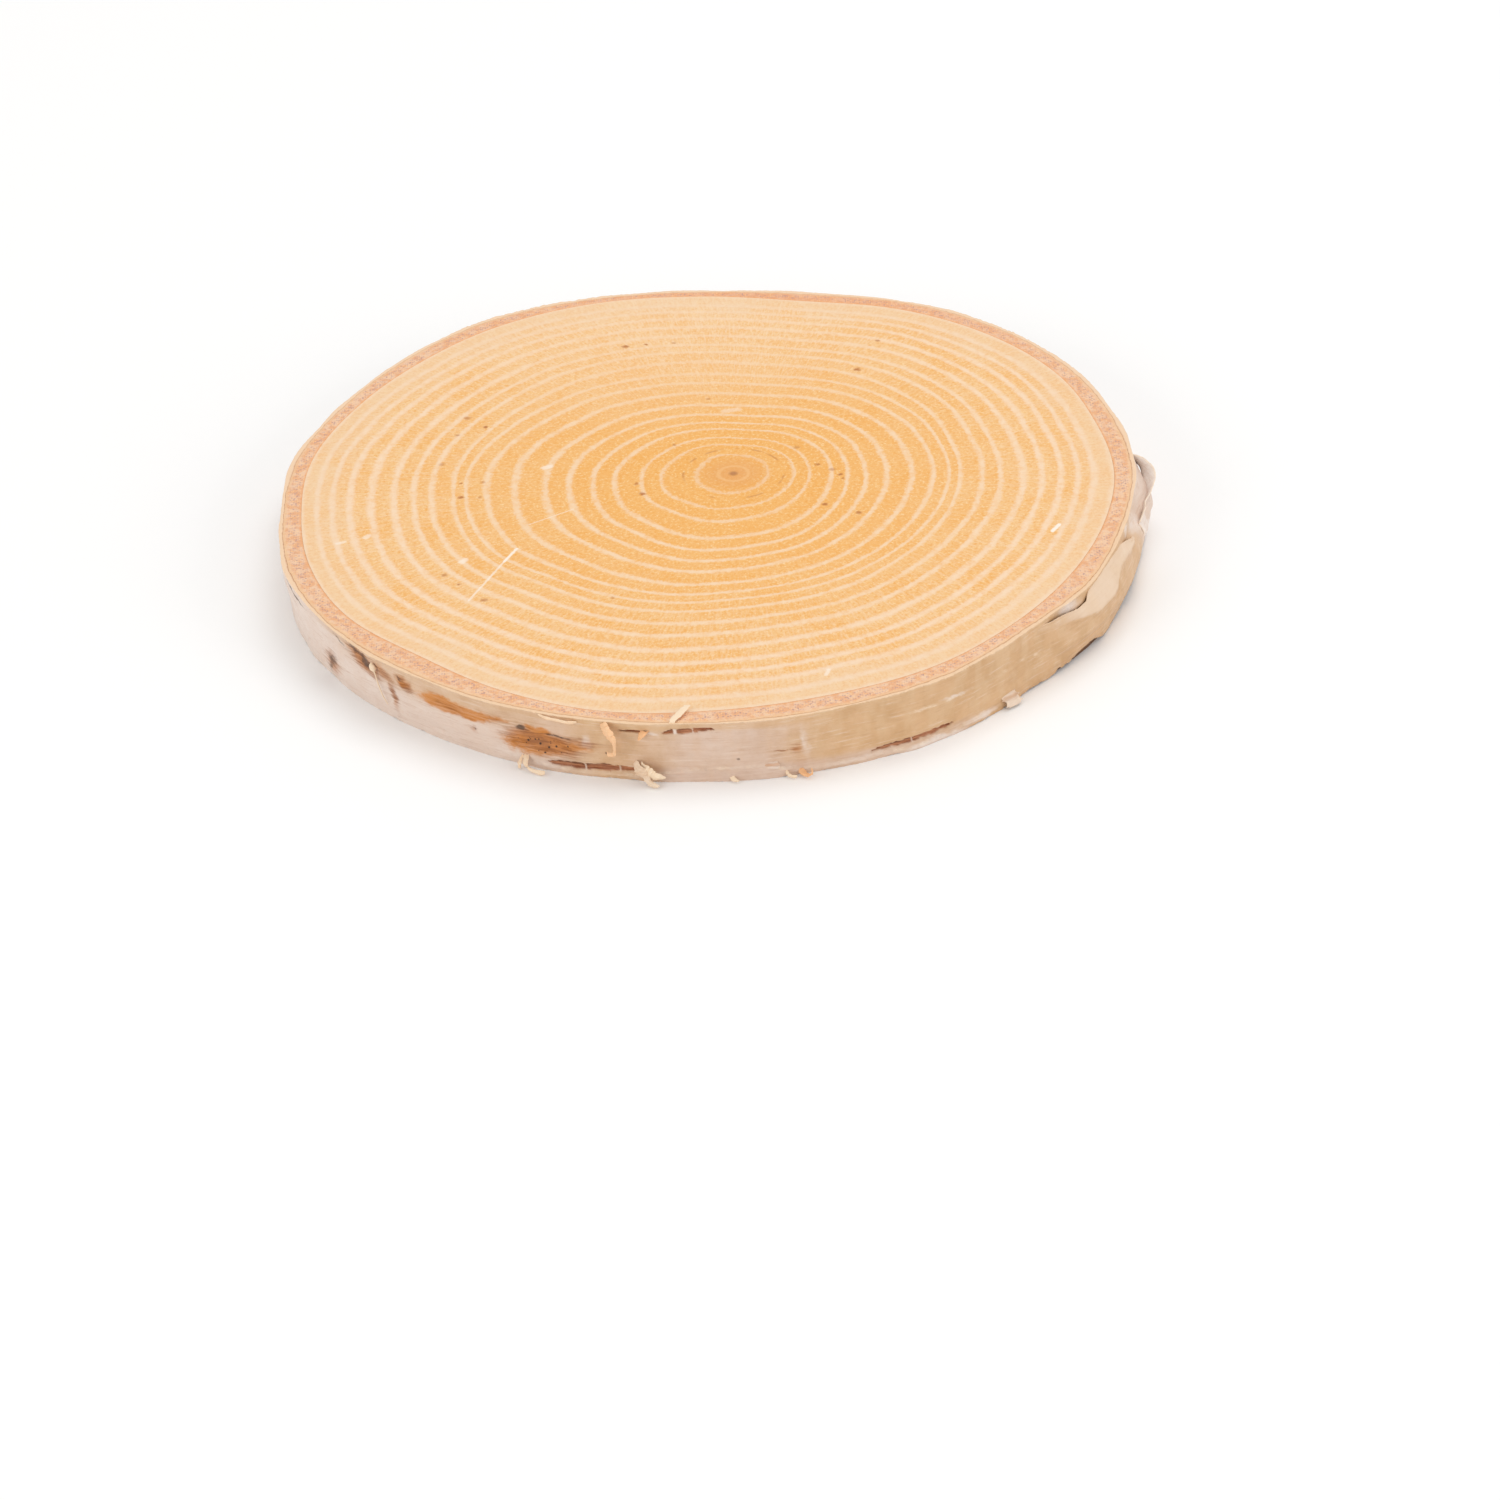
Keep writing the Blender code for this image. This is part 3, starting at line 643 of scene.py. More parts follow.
def wood_look(name, flecks, scratches):
    """Sawn birch end grain: golden years between pale lines, paler near the bark, with rays and flecks."""
    look = Look(name, roughness=0.6, specular=0.25)
    spot, share, blur = look.vector("spot"), look.value("share"), look.value("blur")
    years = wavy_years(look, spot, share)
    grain = look.noise(spot, 1.9, 4.0, 0.75)
    lay_gold(look, spot, share, years, grain)
    pale = look.blend(look.ease(share, 0.6, 0.95), (240, 210, 176), (242, 216, 190))
    look.paint(year_lines(look, spot, share, blur, years), pale)
    rays = fine_rays(look, spot, share)
    ray_strength = look.maths("MULTIPLY_ADD", blur, 0.16, look.ease(share, 0.2, 0.85, 0.06, 0.34))
    look.paint(look.times(rays, ray_strength), (244, 216, 182))

    # The far side is hazier, and the last years pale to cream beside the bark.
    look.paint(look.times(blur, 0.2), (241, 213, 180))
    paling = look.strayed(share, look.noise(spot, 0.15), 0.16)
    look.paint(look.ease(paling, 0.84, 1.0, 0.0, 0.45), (235, 208, 178))
    lay_pith(look, spot)
    lay_marks(look, spot, flecks, scratches)
    relief = look.plus(look.times(grain, 0.7), look.times(rays, 0.25))
    rough = look.ease(look.noise(spot, 0.6, 3.0), 0.3, 0.7, 0.52, 0.7)
    return look.finish(relief, strength=0.35, depth_mm=0.06, roughness=rough)


def inner_bark_look():
    """The sawn inner bark: an orange line at the wood, granular cells and a pale band beside the paper."""
    look = Look("inner bark", roughness=0.7, specular=0.2)
    place = look.vector("place")
    depth = look.strayed(look.value("depth"), look.noise(place, 0.9, 3.0), 0.16)
    mottled = look.ease(look.noise(place, 1.1, 3.0), 0.35, 0.65)
    look.colour = look.blend(mottled, (236, 198, 166), (230, 174, 132))
    look.paint(look.times(look.value("rich"), 0.55), (230, 162, 118))

    far, kind = look.cells(place, 2.9)
    clumps = look.ease(look.noise(place, 0.9), 0.3, 0.6, 0.3, 0.9)
    speck = look.times(look.ease(kind, 0.38, 0.55), look.ease(far, 0.6, 0.25), clumps)
    middle = look.times(look.ease(depth, 0.1, 0.25), look.ease(depth, 0.86, 0.7))
    look.paint(look.times(speck, look.times(middle, 0.9)), (186, 146, 140))
    light = look.times(look.ease(kind, 0.42, 0.3), look.ease(far, 0.5, 0.2))
    look.paint(look.times(light, 0.6), (250, 206, 150))
    look.paint(look.ease(depth, 0.16, 0.02, 0.0, 0.45), (234, 160, 98))
    look.paint(look.ease(depth, 0.8, 0.96, 0.0, 0.75), (234, 194, 152))
    return look.finish(look.plus(far, look.noise(place, 3.0, 3.0)), strength=0.5, depth_mm=0.12)


def lay_paper(look, fibres, fine, cloud, tone):
    """Sound paper: chalky where it is white and waxy where it is tan, under its bloom and its fibres."""
    clouded = look.ease(cloud, 0.3, 0.7)
    chalk = look.blend(clouded, (214, 188, 170), (206, 177, 157))
    chalk = look.blend(look.ease(tone, 0.45, 0.7, 0.0, 0.5), chalk, (212, 178, 152))
    wax = look.blend(clouded, (212, 172, 130), (200, 159, 115))
    wax = look.blend(look.ease(tone, 0.4, 0.7, 0.0, 0.5), wax, (215, 182, 144))
    look.colour = look.blend(look.ease(look.strayed(look.value("tan"), cloud, 0.5), 0.1, 0.9), chalk, wax)
    white = look.value("white")
    patchy = look.times(look.ease(fine, 0.25, 0.6, 0.6, 1.0), look.ease(cloud, 0.35, 0.6, 0.7, 1.0))
    bloom = look.blend(look.ease(white, 0.85, 1.0), (229, 213, 202), (247, 242, 238))
    look.paint(look.times(look.ease(white, 0.0, 0.8), patchy), bloom)
    look.paint(look.ease(fibres, 0.52, 0.72, 0.0, 0.3), (188, 147, 114))
    look.paint(look.ease(fibres, 0.46, 0.3, 0.0, 0.3), (234, 218, 204))


def lay_stains(look, place, fibres, fine, cloud):
    """Orange patches, soaked brown stains with the black specks in them, and brown painted shadow under the
    lifted lower edge.
    """
    orange = look.ease(look.strayed(look.value("orange"), fine, 0.7), 0.05, 0.55)
    look.paint(look.times(orange, look.ease(fibres, 0.35, 0.6, 0.75, 1.0)), (203, 131, 60))
    # The stain value holds real stains and, under the lifted lower edge, painted shadow.
    stained = look.ease(look.strayed(look.value("stain"), fibres, 0.9), 0.05, 0.7)
    wet = look.ease(look.plus(fibres, look.times(cloud, 0.6)), 0.62, 0.98)
    look.paint(look.times(stained, 0.92), look.blend(wet, (194, 121, 50), (140, 80, 30)))
    dots, kind = look.cells(place, 1.8)
    within_dot = look.maths("DIVIDE", dots, look.ease(kind, 0.3, 1.0, 0.2, 0.42))
    dotted = look.times(look.ease(within_dot, 1.0, 0.5), look.ease(kind, 0.25, 0.35), look.value("specks"))
    look.paint(dotted, (62, 42, 28))


def lay_tears(look, fibres, fine):
    """The brown layer in the splits, dark marks, painted shade below the splits' upper edges and under the
    lifted lower edge, pale torn edges, fresh bast and the sawn edge.
    """
    layer_below = look.blend(look.ease(fibres, 0.36, 0.62), (188, 128, 90), (142, 84, 54))
    look.paint(look.ease(look.strayed(look.value("split"), fine, 0.5), 0.15, 0.85), layer_below)
    # The dark value paints dark marks together with painted shade below split edges and under the lifted lower
    # edge.
    dark = look.ease(look.strayed(look.value("dark"), fine, 0.9), 0.08, 0.6)
    look.paint(look.times(dark, 0.85), (78, 56, 42))
    look.paint(look.times(look.value("torn"), look.ease(fine, 0.3, 0.6, 0.2, 0.8)), (243, 222, 196))
    fresh, cut = look.value("fresh"), look.value("cut")
    bast = look.blend(look.ease(look.strayed(fresh, fine, 0.4), 0.35, 0.95), (240, 216, 186), (238, 184, 134))
    look.paint(look.ease(fresh, 0.0, 0.25), bast)
    deep_cut = look.ease(look.plus(cut, look.times(fine, 0.3)), 0.95, 1.2)
    look.paint(look.ease(cut, 0.02, 0.25, 0.0, 0.9), look.blend(deep_cut, (238, 204, 168), (206, 150, 106)))


def paper_look():
    """Papery birch bark: chalky white to waxy cream, with stains, splits and tears, and with painted shade
    below split edges and under the lifted lower edge, where its values say so.
    """
    look = Look("paper bark", roughness=0.5, specular=0.35)
    place = look.vector("place")
    fibres = look.noise(place, 1.0, 5.0, 0.65, stretch=(0.22, 0.22, 3.2))
    fine = look.noise(place, 1.0, 4.0, 0.65, stretch=(1.4, 1.4, 4.0))
    cloud = look.noise(place, 0.28, 4.0, 0.6)
    tone = look.noise(place, 1.0, 3.0, stretch=(0.5, 0.5, 0.25))
    lay_paper(look, fibres, fine, cloud, tone)
    lay_stains(look, place, fibres, fine, cloud)
    lay_tears(look, fibres, fine)
    relief = look.plus(look.times(fibres, 0.6), look.times(fine, 0.4))
    rough = look.ease(look.value("tan"), 0.0, 1.0, 0.58, 0.42)
    return look.finish(relief, strength=0.4, depth_mm=0.15, roughness=rough)


def pith_distances(pith, height):
    """How far the edge of the wood lies from the pith, in mm, at each of the sawn face's columns."""
    angle = np.arange(0.0, 360.0, 0.25)
    edge = leaning_points(smooth_radius(WOOD_RADII, angle) - HAIR, angle, height)[:, :2] - pith
    turn = np.degrees(np.arctan2(edge[:, 1], edge[:, 0])) % 360.0
    order = np.argsort(turn)
    distances = np.linalg.norm(edge, axis=1)[order]
    return np.interp(even_angles(FACE_COLUMNS), turn[order], distances, period=360.0)


def year_shares(edge):
    """The share of the way from pith to bark of each year's line, at each column of a sawn face."""
    known = sorted(YEAR_LINES)
    here = [edge[int(angle * FACE_COLUMNS / 360)] for angle in known]
    table = np.array([[0.0, *(radius / reach for radius in YEAR_LINES[angle]), 1.0]
                      for angle, reach in zip(known, here)])
    quarter = even_angles(FACE_COLUMNS) / (360.0 / len(known))
    first = quarter.astype(int)
    t = smooth_step(quarter - first, 0.0, 1.0)[:, None]
    return table[first] * (1 - t) + table[(first + 1) % len(known)] * t


def sawn_half(name, face_height, inner_height, look):
    """Half of the sawn wood, closed: one sawn face, the edge beneath it and a plain face inside the wood."""
    pith = np.array(PITH) + np.multiply(LEAN, 1.0 - face_height / THICKNESS)
    edge = pith_distances(pith, face_height)
    years = np.arange(1, YEARS * ROWS_PER_YEAR + 1) / ROWS_PER_YEAR
    shares = np.array([np.interp(years, np.arange(YEARS + 1), line) for line in year_shares(edge)])
    radii = shares * edge[:, None]
    turn = np.radians(even_angles(FACE_COLUMNS))
    spots = radii[:, :, None] * np.stack([np.cos(turn), np.sin(turn)], -1)[:, None, :]

    # The points of the face, then those below its edge, then the two centres.
    rows = len(years)
    ring = FACE_COLUMNS * rows
    centre = ring + FACE_COLUMNS
    flat = np.concatenate([spots.reshape(-1, 2), spots[:, -1], np.zeros((2, 2))])
    inside = np.arange(len(flat)) >= ring
    inside[centre] = False
    points = np.column_stack([flat + pith, np.where(inside, inner_height, face_height)])
    points[inside, :2] -= np.multiply(LEAN, (inner_height - face_height) / THICKNESS)

    far_side = bump(turn_from(np.degrees(np.arctan2(flat[:, 1], flat[:, 0])), FAR_ANGLE) / FAR_HALF_ANGLE)
    values = {
        "spot": np.column_stack([flat, np.zeros(len(flat))]),
        "years": np.concatenate([
            np.tile(years, FACE_COLUMNS), np.full(FACE_COLUMNS, float(YEARS)), [0.0, 0.0]]),
        "share": np.concatenate([shares.ravel(), np.ones(FACE_COLUMNS), [0.0, 0.0]]),
        "blur": far_side * smooth_step(np.linalg.norm(flat, axis=1), 12.0, 34.0),
    }

    # The map: the face across it, its edge in a thin line round that, the inner face small in a corner.
    middle = (points[:, :2].min(0) + points[:, :2].max(0)) / 2
    face_uv = 0.5 + (points[:, :2] - middle) / (2.02 * radii.max())
    side_uv = 0.5 + (face_uv - 0.5) * 1.012
    inner_uv = 0.93 + (face_uv - 0.5) * 0.13
    faces, corner_map = [], []

    def add(*corners):
        """A face, from the number of each corner's point and the map on which it lies."""
        if face_height < inner_height:
            corners = corners[::-1]
        faces.append([point for point, _ in corners])
        corner_map.extend(uv[point] for point, uv in corners)

    for column in range(FACE_COLUMNS):
        after = (column + 1) % FACE_COLUMNS
        here, there, low, low_after = column * rows, after * rows, ring + column, ring + after
        add((centre, face_uv), (here, face_uv), (there, face_uv))
        for row in range(rows - 1):
            quad = (here + row, here + row + 1, there + row + 1, there + row)
            add(*((point, face_uv) for point in quad))
        add((here + rows - 1, face_uv), (low, side_uv), (low_after, side_uv), (there + rows - 1, face_uv))
        add((centre + 1, inner_uv), (low_after, inner_uv), (low, inner_uv))
    piece = new_piece(name, points, faces, np.array(corner_map), values, look)
    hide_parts("wood")


def inner_edge_of_paper(angle):
    """The radius where the inner bark ends and the paper begins."""
    ragged = wall_noise(angle, 0.0, (0.16, 26.0, 0.0, 3.1), (0.08, 90.0, 0.0, 8.4))
    return smooth_radius(RIM_RADII, angle) - PAPER_THICKNESS + ragged


def make_inner_bark():
    """The closed ring of granular bark between the wood and the paper."""
    angle = even_angles(BARK_COLUMNS)
    inner = smooth_radius(WOOD_RADII, angle) + HAIR
    outer = inner_edge_of_paper(angle) - HAIR
    depths = np.array([0.0, 0.03, 0.08, 0.16, 0.26, 0.36, 0.46, 0.56, 0.66, 0.76, 0.86, 0.94, 1.0])
    rows = []
    for depth in depths:
        sunk = 0.03 * bump((depth - 1.0) / 0.1) + 0.03 * bump(depth / 0.04)
        rows.append((depth, THICKNESS - sunk + wall_noise(angle, depth * 3.0, (0.02, 110.0, 1.0, 5.0))))
    rows += [(1.0, THICKNESS * (1 - wall)) for wall in WALL_THIRDS]
    for depth in depths[::-1]:
        rows.append((depth, np.abs(wall_noise(angle, depth * 3.0, (0.02, 110.0, 1.0, 9.0)))))
    rows += [(0.0, THICKNESS * wall) for wall in WALL_THIRDS]
    points = [leaning_points(inner + (outer - inner) * depth, angle, height) for depth, height in rows]
    points = np.stack(points, 1)

    faces, corner_column, corner_row = ring_faces(BARK_COLUMNS, len(rows))
    top_lengths = np.diff(depths) * 3.2
    hidden = [0.1] * (len(WALL_THIRDS) + 1)
    lengths = [*top_lengths, *hidden, *top_lengths, *hidden]
    corner_map = strip_map(corner_column, corner_row, BARK_COLUMNS, 8, lengths)
    values = {
        "depth": np.tile([depth for depth, _ in rows], BARK_COLUMNS),
        "rich": np.repeat(bump(turn_from(angle, 82.0) / 60.0), len(rows)),
    }
    points = points.reshape(-1, 3)
    piece = new_piece("inner_bark", points, faces, corner_map, values, inner_bark_look())
    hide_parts("bark")


def split_share(angle, up):
    """How far each point of the wall lies inside a split, from 0 to 1, its depth in mm, where a shred crosses
    it and how much its upper edge shades it."""
    share, depth, shade, crossed = (np.zeros_like(up) for _ in range(4))
    for start, end, first_up, last_up, half_height, full_depth in SPLITS:
        middle = (start + end) / 2
        along = round_mm(angle, middle) / round_mm(end, middle)
        level = first_up + (last_up - first_up) * (along + 1) / 2
        level = level + wall_noise(angle, 0.0, (0.07, 50.0, 0.0, start))
        ragged = 0.9 + wall_noise(angle, 0.0, (0.4, 70.0, 0.0, end))
        taper = np.clip(1 - np.abs(along) ** 2.6, 0, 1) ** 0.75 * ragged
        gap = np.abs(up - level) / np.maximum(half_height * taper, 0.02)
        inside = smooth_step(gap, 1.15, 0.75) * (np.abs(along) < 1)
        share = np.maximum(share, inside)
        depth = np.maximum(depth, inside * full_depth)
        # Painted shade: the split is darkened below its upper edge.
        under_edge = smooth_step((up - level) / half_height, -0.5, 0.5)
        shade = np.maximum(shade, inside * under_edge * smooth_step(along, 1.0, -0.6))
    for centre, half_width in SPLIT_BARS:
        crossed = np.maximum(crossed, bump(round_mm(angle, centre) / (half_width * 1.6)))
    return share * (1 - crossed), depth * (1 - 0.8 * crossed), share * crossed, shade * (1 - crossed)


def torn_steps(angle, up):
    """The relief of the layers that end at the torn edges, in mm, and where their pale edges show."""
    relief, edge = np.zeros_like(up), np.zeros_like(up)
    for kind, (step, line) in enumerate(TORN_EDGES):
        angles, heights = zip(*line)
        stray = wall_noise(angle, 0.0, (0.22, 60.0, 0.0, 11.0 + kind), (0.10, 190.0, 0.0, 5.0 + kind))
        level = np.interp(angle, angles, heights) + stray
        fade = smooth_step(angle, angles[0], angles[0] + 3) * smooth_step(angle, angles[-1], angles[-1] - 3)
        below = smooth_step(up, level + 0.10, level - 0.10)
        curled = 0.35 * step * bump((up - level + 0.25) / 0.35)
        relief = relief + (step * below + curled) * fade
        lit = 0.15 + 0.6 * smooth_step(wall_noise(angle, 0.0, (1.0, 34.0, 0.0, 21.0 + kind)), -0.05, 0.35)
        edge = np.maximum(edge, bump((up - level) / 0.26) * fade * lit)
    return relief, edge


def wall_relief(angle, up, step_relief, split_depth):
    """How far the bark's wall stands off its plain outline, in mm."""
    relief = wall_noise(angle, up, SWELL, GRAIN)
    for *place, size in SCARS:
        relief = relief + size * patch(angle, up, *place)
    past_front = np.where(angle > BULGE_ANGLES[-1] - 360, angle, angle + 360)
    share = np.interp(up, BULGE_HEIGHTS, BULGE_SHARES)
    relief = relief + np.interp(past_front, BULGE_ANGLES, BULGE_OUT) * share
    return relief + wall_noise(angle, up, *FINE_GRAIN) + step_relief - split_depth - WALL_INSET


def painted_marks(angle, up):
    """The values of the marks on the outer bark, from 0 to 1, with edges warped by noise."""
    stray_round = wall_noise(angle, up, (0.55, 55.0, 0.9, 31.0), (0.25, 150.0, 2.2, 37.0))
    stray_up = wall_noise(angle, up, (0.35, 45.0, 0.9, 41.0), (0.16, 140.0, 2.6, 43.0))
    painted = {}
    for kind, marks in MARKS.items():
        value = np.zeros_like(up)
        for centre, level, half_width, half_height, slant, strength in marks:
            across = round_mm(angle, centre) + stray_round
            rise = up + stray_up - level - slant * across
            spot = bump(np.hypot(across / half_width, rise / half_height) * 0.8)
            value = np.maximum(value, strength * spot)
        painted[kind] = value
    return painted


def lenticels(angle, up):
    """The short level dashes that white birch bark carries, on the part that the photograph doesn't show."""
    rng = np.random.default_rng(7)
    value = np.zeros_like(up)
    for _ in range(70):
        centre, level = rng.uniform(14.0, 184.0), rng.uniform(0.5, 9.0)
        half_width, half_height = rng.uniform(0.8, 3.0), rng.uniform(0.14, 0.3)
        strength = rng.uniform(0.35, 0.95)
        shape = patch(angle, up, centre, level, half_width / 0.85, half_height / 0.85)
        value = np.maximum(value, strength * shape)
    return value


def specks(angle, up):
    """A few tiny black specks that lie alone."""
    spots = [patch(angle, up, centre, level, SPECK_SIZE, SPECK_SIZE) for centre, level in LONE_SPECKS]
    return np.maximum.reduce(spots)


def wall_values(angle, up, split, edge, crossed, shade):
    """Every painted value of the outer bark at each point of its wall."""
    painted = painted_marks(angle, up)
    lower = smooth_step(up, 2.6, 1.2) * smooth_step(angle, 258.0, 264.0) * smooth_step(angle, 306.0, 300.0)
    upper = smooth_step(up, 7.9, 8.8) * smooth_step(angle, 196.0, 215.0) * smooth_step(angle, 330.0, 300.0)
    waxed = np.maximum(upper, smooth_step(up, 4.6, 7.6) * bump((angle - 232.0) / 34.0))
    tan = np.interp(angle, TAN_ANGLES, TAN_SHARES)
    bloom = np.interp(angle, WHITE_ANGLES, WHITE_SHARES) * (1 - 0.7 * waxed)
    # The dark value holds the dark marks, specks and lenticels, and painted shade below each split's upper
    # edge.
    dark_marks_and_shade = (painted["dark"], 0.9 * specks(angle, up), 0.8 * lenticels(angle, up), 0.5 * shade)
    return {
        "tan": tan * (1 - 0.55 * lower) + 0.5 * waxed * (1 - tan),
        "dark": np.maximum.reduce(dark_marks_and_shade),
        "stain": painted["stain"],
        "orange": painted["orange"],
        "white": np.maximum.reduce((painted["white"], 0.7 * crossed, bloom)),
        "split": split,
        "torn": edge,
        "specks": patch(angle, up, *SPECKLED) > 0.25,
        "fresh": np.zeros_like(up),
    }


def paper_edges(angle):
    """The heights of the paper's nicked and lifted lower edge and of its ragged rim."""
    ragged = 0.4 + sum(bump(round_mm(angle, centre) / half_width) for centre, half_width in RAGGED_RIM)
    spikes = wall_noise(angle, 0.0, (0.12, 120.0, 0.0, 51.0), (0.08, 320.0, 0.0, 53.0))
    tattered = 1.0 + 1.4 * smooth_step(angle, 300.0, 316.0) * smooth_step(angle, 352.0, 344.0)
    nicks = wall_noise(angle, 0.0, (0.22, 70.0, 0.0, 57.0), (0.1, 260.0, 0.0, 59.0))
    lift = np.interp(angle, *zip(*LIFTED_EDGE)) * smooth_step(angle, 300.0, 302.0)
    return tattered * np.clip(nicks, 0.0, 0.3) + lift, THICKNESS - 0.04 + np.clip(ragged * spikes, -0.3, 0.16)


def make_paper_bark(look):
    """The closed outer ring of paper, with its wall, ragged rim and lifted lower edge."""
    angle = even_angles(PAPER_COLUMNS)[:, None]
    low, top = paper_edges(angle)
    up = low + (top - low) * np.linspace(1.0, 0.0, WALL_ROWS)[None, :]
    wide = np.broadcast_to(angle, up.shape)
    split, split_depth, crossed, shade = split_share(wide, up)
    step_relief, edge = torn_steps(wide, up)
    radius = smooth_radius(RIM_RADII, wide) + wall_relief(wide, up, step_relief, split_depth)

    # The rows before the wall cross the sawn edge, and those behind it run under the paper and up its back.
    back, outer, foot = inner_edge_of_paper(angle) + HAIR, radius[:, :1], radius[:, -1:]
    tuck = np.minimum(foot, smooth_radius(RIM_RADII, angle)) - 0.3
    before = [
        (back, THICKNESS - 0.06),
        (back * 0.6 + outer * 0.4, (top + THICKNESS) / 2 - 0.02),
        (back * 0.15 + outer * 0.85 - 0.03, top + 0.03),
    ]
    behind = [
        (foot - 0.12, np.maximum(low - 0.02, 0.0)),
        (tuck, np.maximum(low - 0.05, 0.0)),
        (tuck - 0.05, 0.0),
        (back, 0.0),
        (back, 0.5 * THICKNESS),
    ]
    points = [leaning_points(out, angle, height) for out, height in (*before, (radius, up), *behind)]
    points = np.concatenate(points, 1)

    values = {"cut": np.zeros(points.shape[:2])}
    repeats = [len(before) + 1, *([1] * (WALL_ROWS - 2)), len(behind) + 1]
    for key, value in wall_values(wide, up, split, edge, crossed, shade).items():
        values[key] = np.repeat(value, repeats, axis=1).astype(float)
    # Painted shadow: where the lower edge is lifted off the floor, the rows under the paper are painted brown
    # and dark.
    lifted = smooth_step(low, 0.05, 0.4)
    last = slice(-len(behind), None)
    values["stain"][:, last] = np.maximum(values["stain"][:, last], 0.9 * lifted)
    values["dark"][:, last] = np.maximum(values["dark"][:, last], 0.55 * lifted)
    values["torn"][:, len(before)] = np.maximum(values["torn"][:, len(before)], 0.35)
    values["cut"][:, :len(before)] = (1.0, 0.75, 0.4)
    values["cut"][:, -2:] = 1.0

    faces, corner_column, corner_row = ring_faces(PAPER_COLUMNS, points.shape[1])
    wall_lengths = [THICKNESS / (WALL_ROWS - 1)] * (WALL_ROWS - 1)
    lengths = [0.3, 0.45, 0.2, *wall_lengths, 0.15, 0.25, 0.15, 0.4, 0.1, 0.1]
    corner_map = strip_map(corner_column, corner_row, PAPER_COLUMNS, 6, lengths)
    values = {key: value.ravel() for key, value in values.items()}
    piece = new_piece("paper_bark", points.reshape(-1, 3), faces, corner_map, values, look)
    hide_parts("bark")


def through(controls, steps):
    """Points on the smooth path through control points, steps of them for each stretch."""
    controls = np.asarray(controls, float)
    ends = np.concatenate([2 * controls[:1] - controls[1:2], controls, 2 * controls[-1:] - controls[-2:-1]])
    starts = range(len(controls) - 1)
    path = [spline(*ends[k:k + 4], t) for k in starts for t in np.arange(steps) / steps]
    return np.array([*path, controls[-1]])


def thin_sheet(name, grid, thickness, values, look):
    """A closed sheet through a grid of points, thinned to a torn edge, with its outer side mapped beside its
    inner one. Values are a pair for each name: the outer side's and the inner side's, per grid point."""
    rows, columns = grid.shape[:2]
    normal = np.cross(np.gradient(grid, axis=1), np.gradient(grid, axis=0))
    normal /= np.maximum(np.linalg.norm(normal, axis=2, keepdims=True), 1e-9)
    half = np.full((rows, columns, 1), thickness / 2)
    half[[0, -1]] *= TORN_THINNING
    half[:, [0, -1]] *= TORN_THINNING
    points = np.concatenate([(grid + normal * half).reshape(-1, 3), (grid - normal * half).reshape(-1, 3)])
    points[:, 2] = np.maximum(points[:, 2], 0.0)
    count = rows * columns
    u, v = np.meshgrid(np.linspace(0, 1, columns), np.linspace(0, 1, rows))
    front_map = np.stack([0.01 + 0.47 * u, 0.01 + 0.98 * v], -1).reshape(-1, 2)
    point_map = np.concatenate([front_map, front_map + [0.51, 0.0]])

    index = np.arange(count).reshape(rows, columns)
    faces = []
    for row, column in np.ndindex(rows - 1, columns - 1):
        a, b = index[row, column], index[row, column + 1]
        c, d = index[row + 1, column + 1], index[row + 1, column]
        faces += [[a, b, c, d], [a + count, d + count, c + count, b + count]]
    border = [*index[0, :-1], *index[:-1, -1], *index[-1, :0:-1], *index[:0:-1, 0]]
    for here, there in zip(border, border[1:] + border[:1]):
        faces.append([there, here, here + count, there + count])
    corners = np.array(faces)
    flat_values = {}
    for key in PAPER_VALUES:
        both = [np.broadcast_to(side, (rows, columns)).ravel() for side in values.get(key, (0.0, 0.0))]
        flat_values[key] = np.concatenate(both).astype(float)
    piece = new_piece(name, points, corners.tolist(), point_map[corners.ravel()], flat_values, look)
    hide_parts("bark")


def wall_grid(angle, up, out):
    """Points that stand out by out mm from the plain wall."""
    return leaning_points(smooth_radius(RIM_RADII, angle) + out, angle, up)


def edge_share(rows, columns, reach):
    """1 along a grid's top and sides, falling to 0 over a share of its size."""
    u, v = np.meshgrid(np.linspace(0, 1, columns), np.linspace(0, 1, rows))
    return np.maximum(bump((1 - v) / reach), bump(np.minimum(u, 1 - u) / (reach * 0.4)))


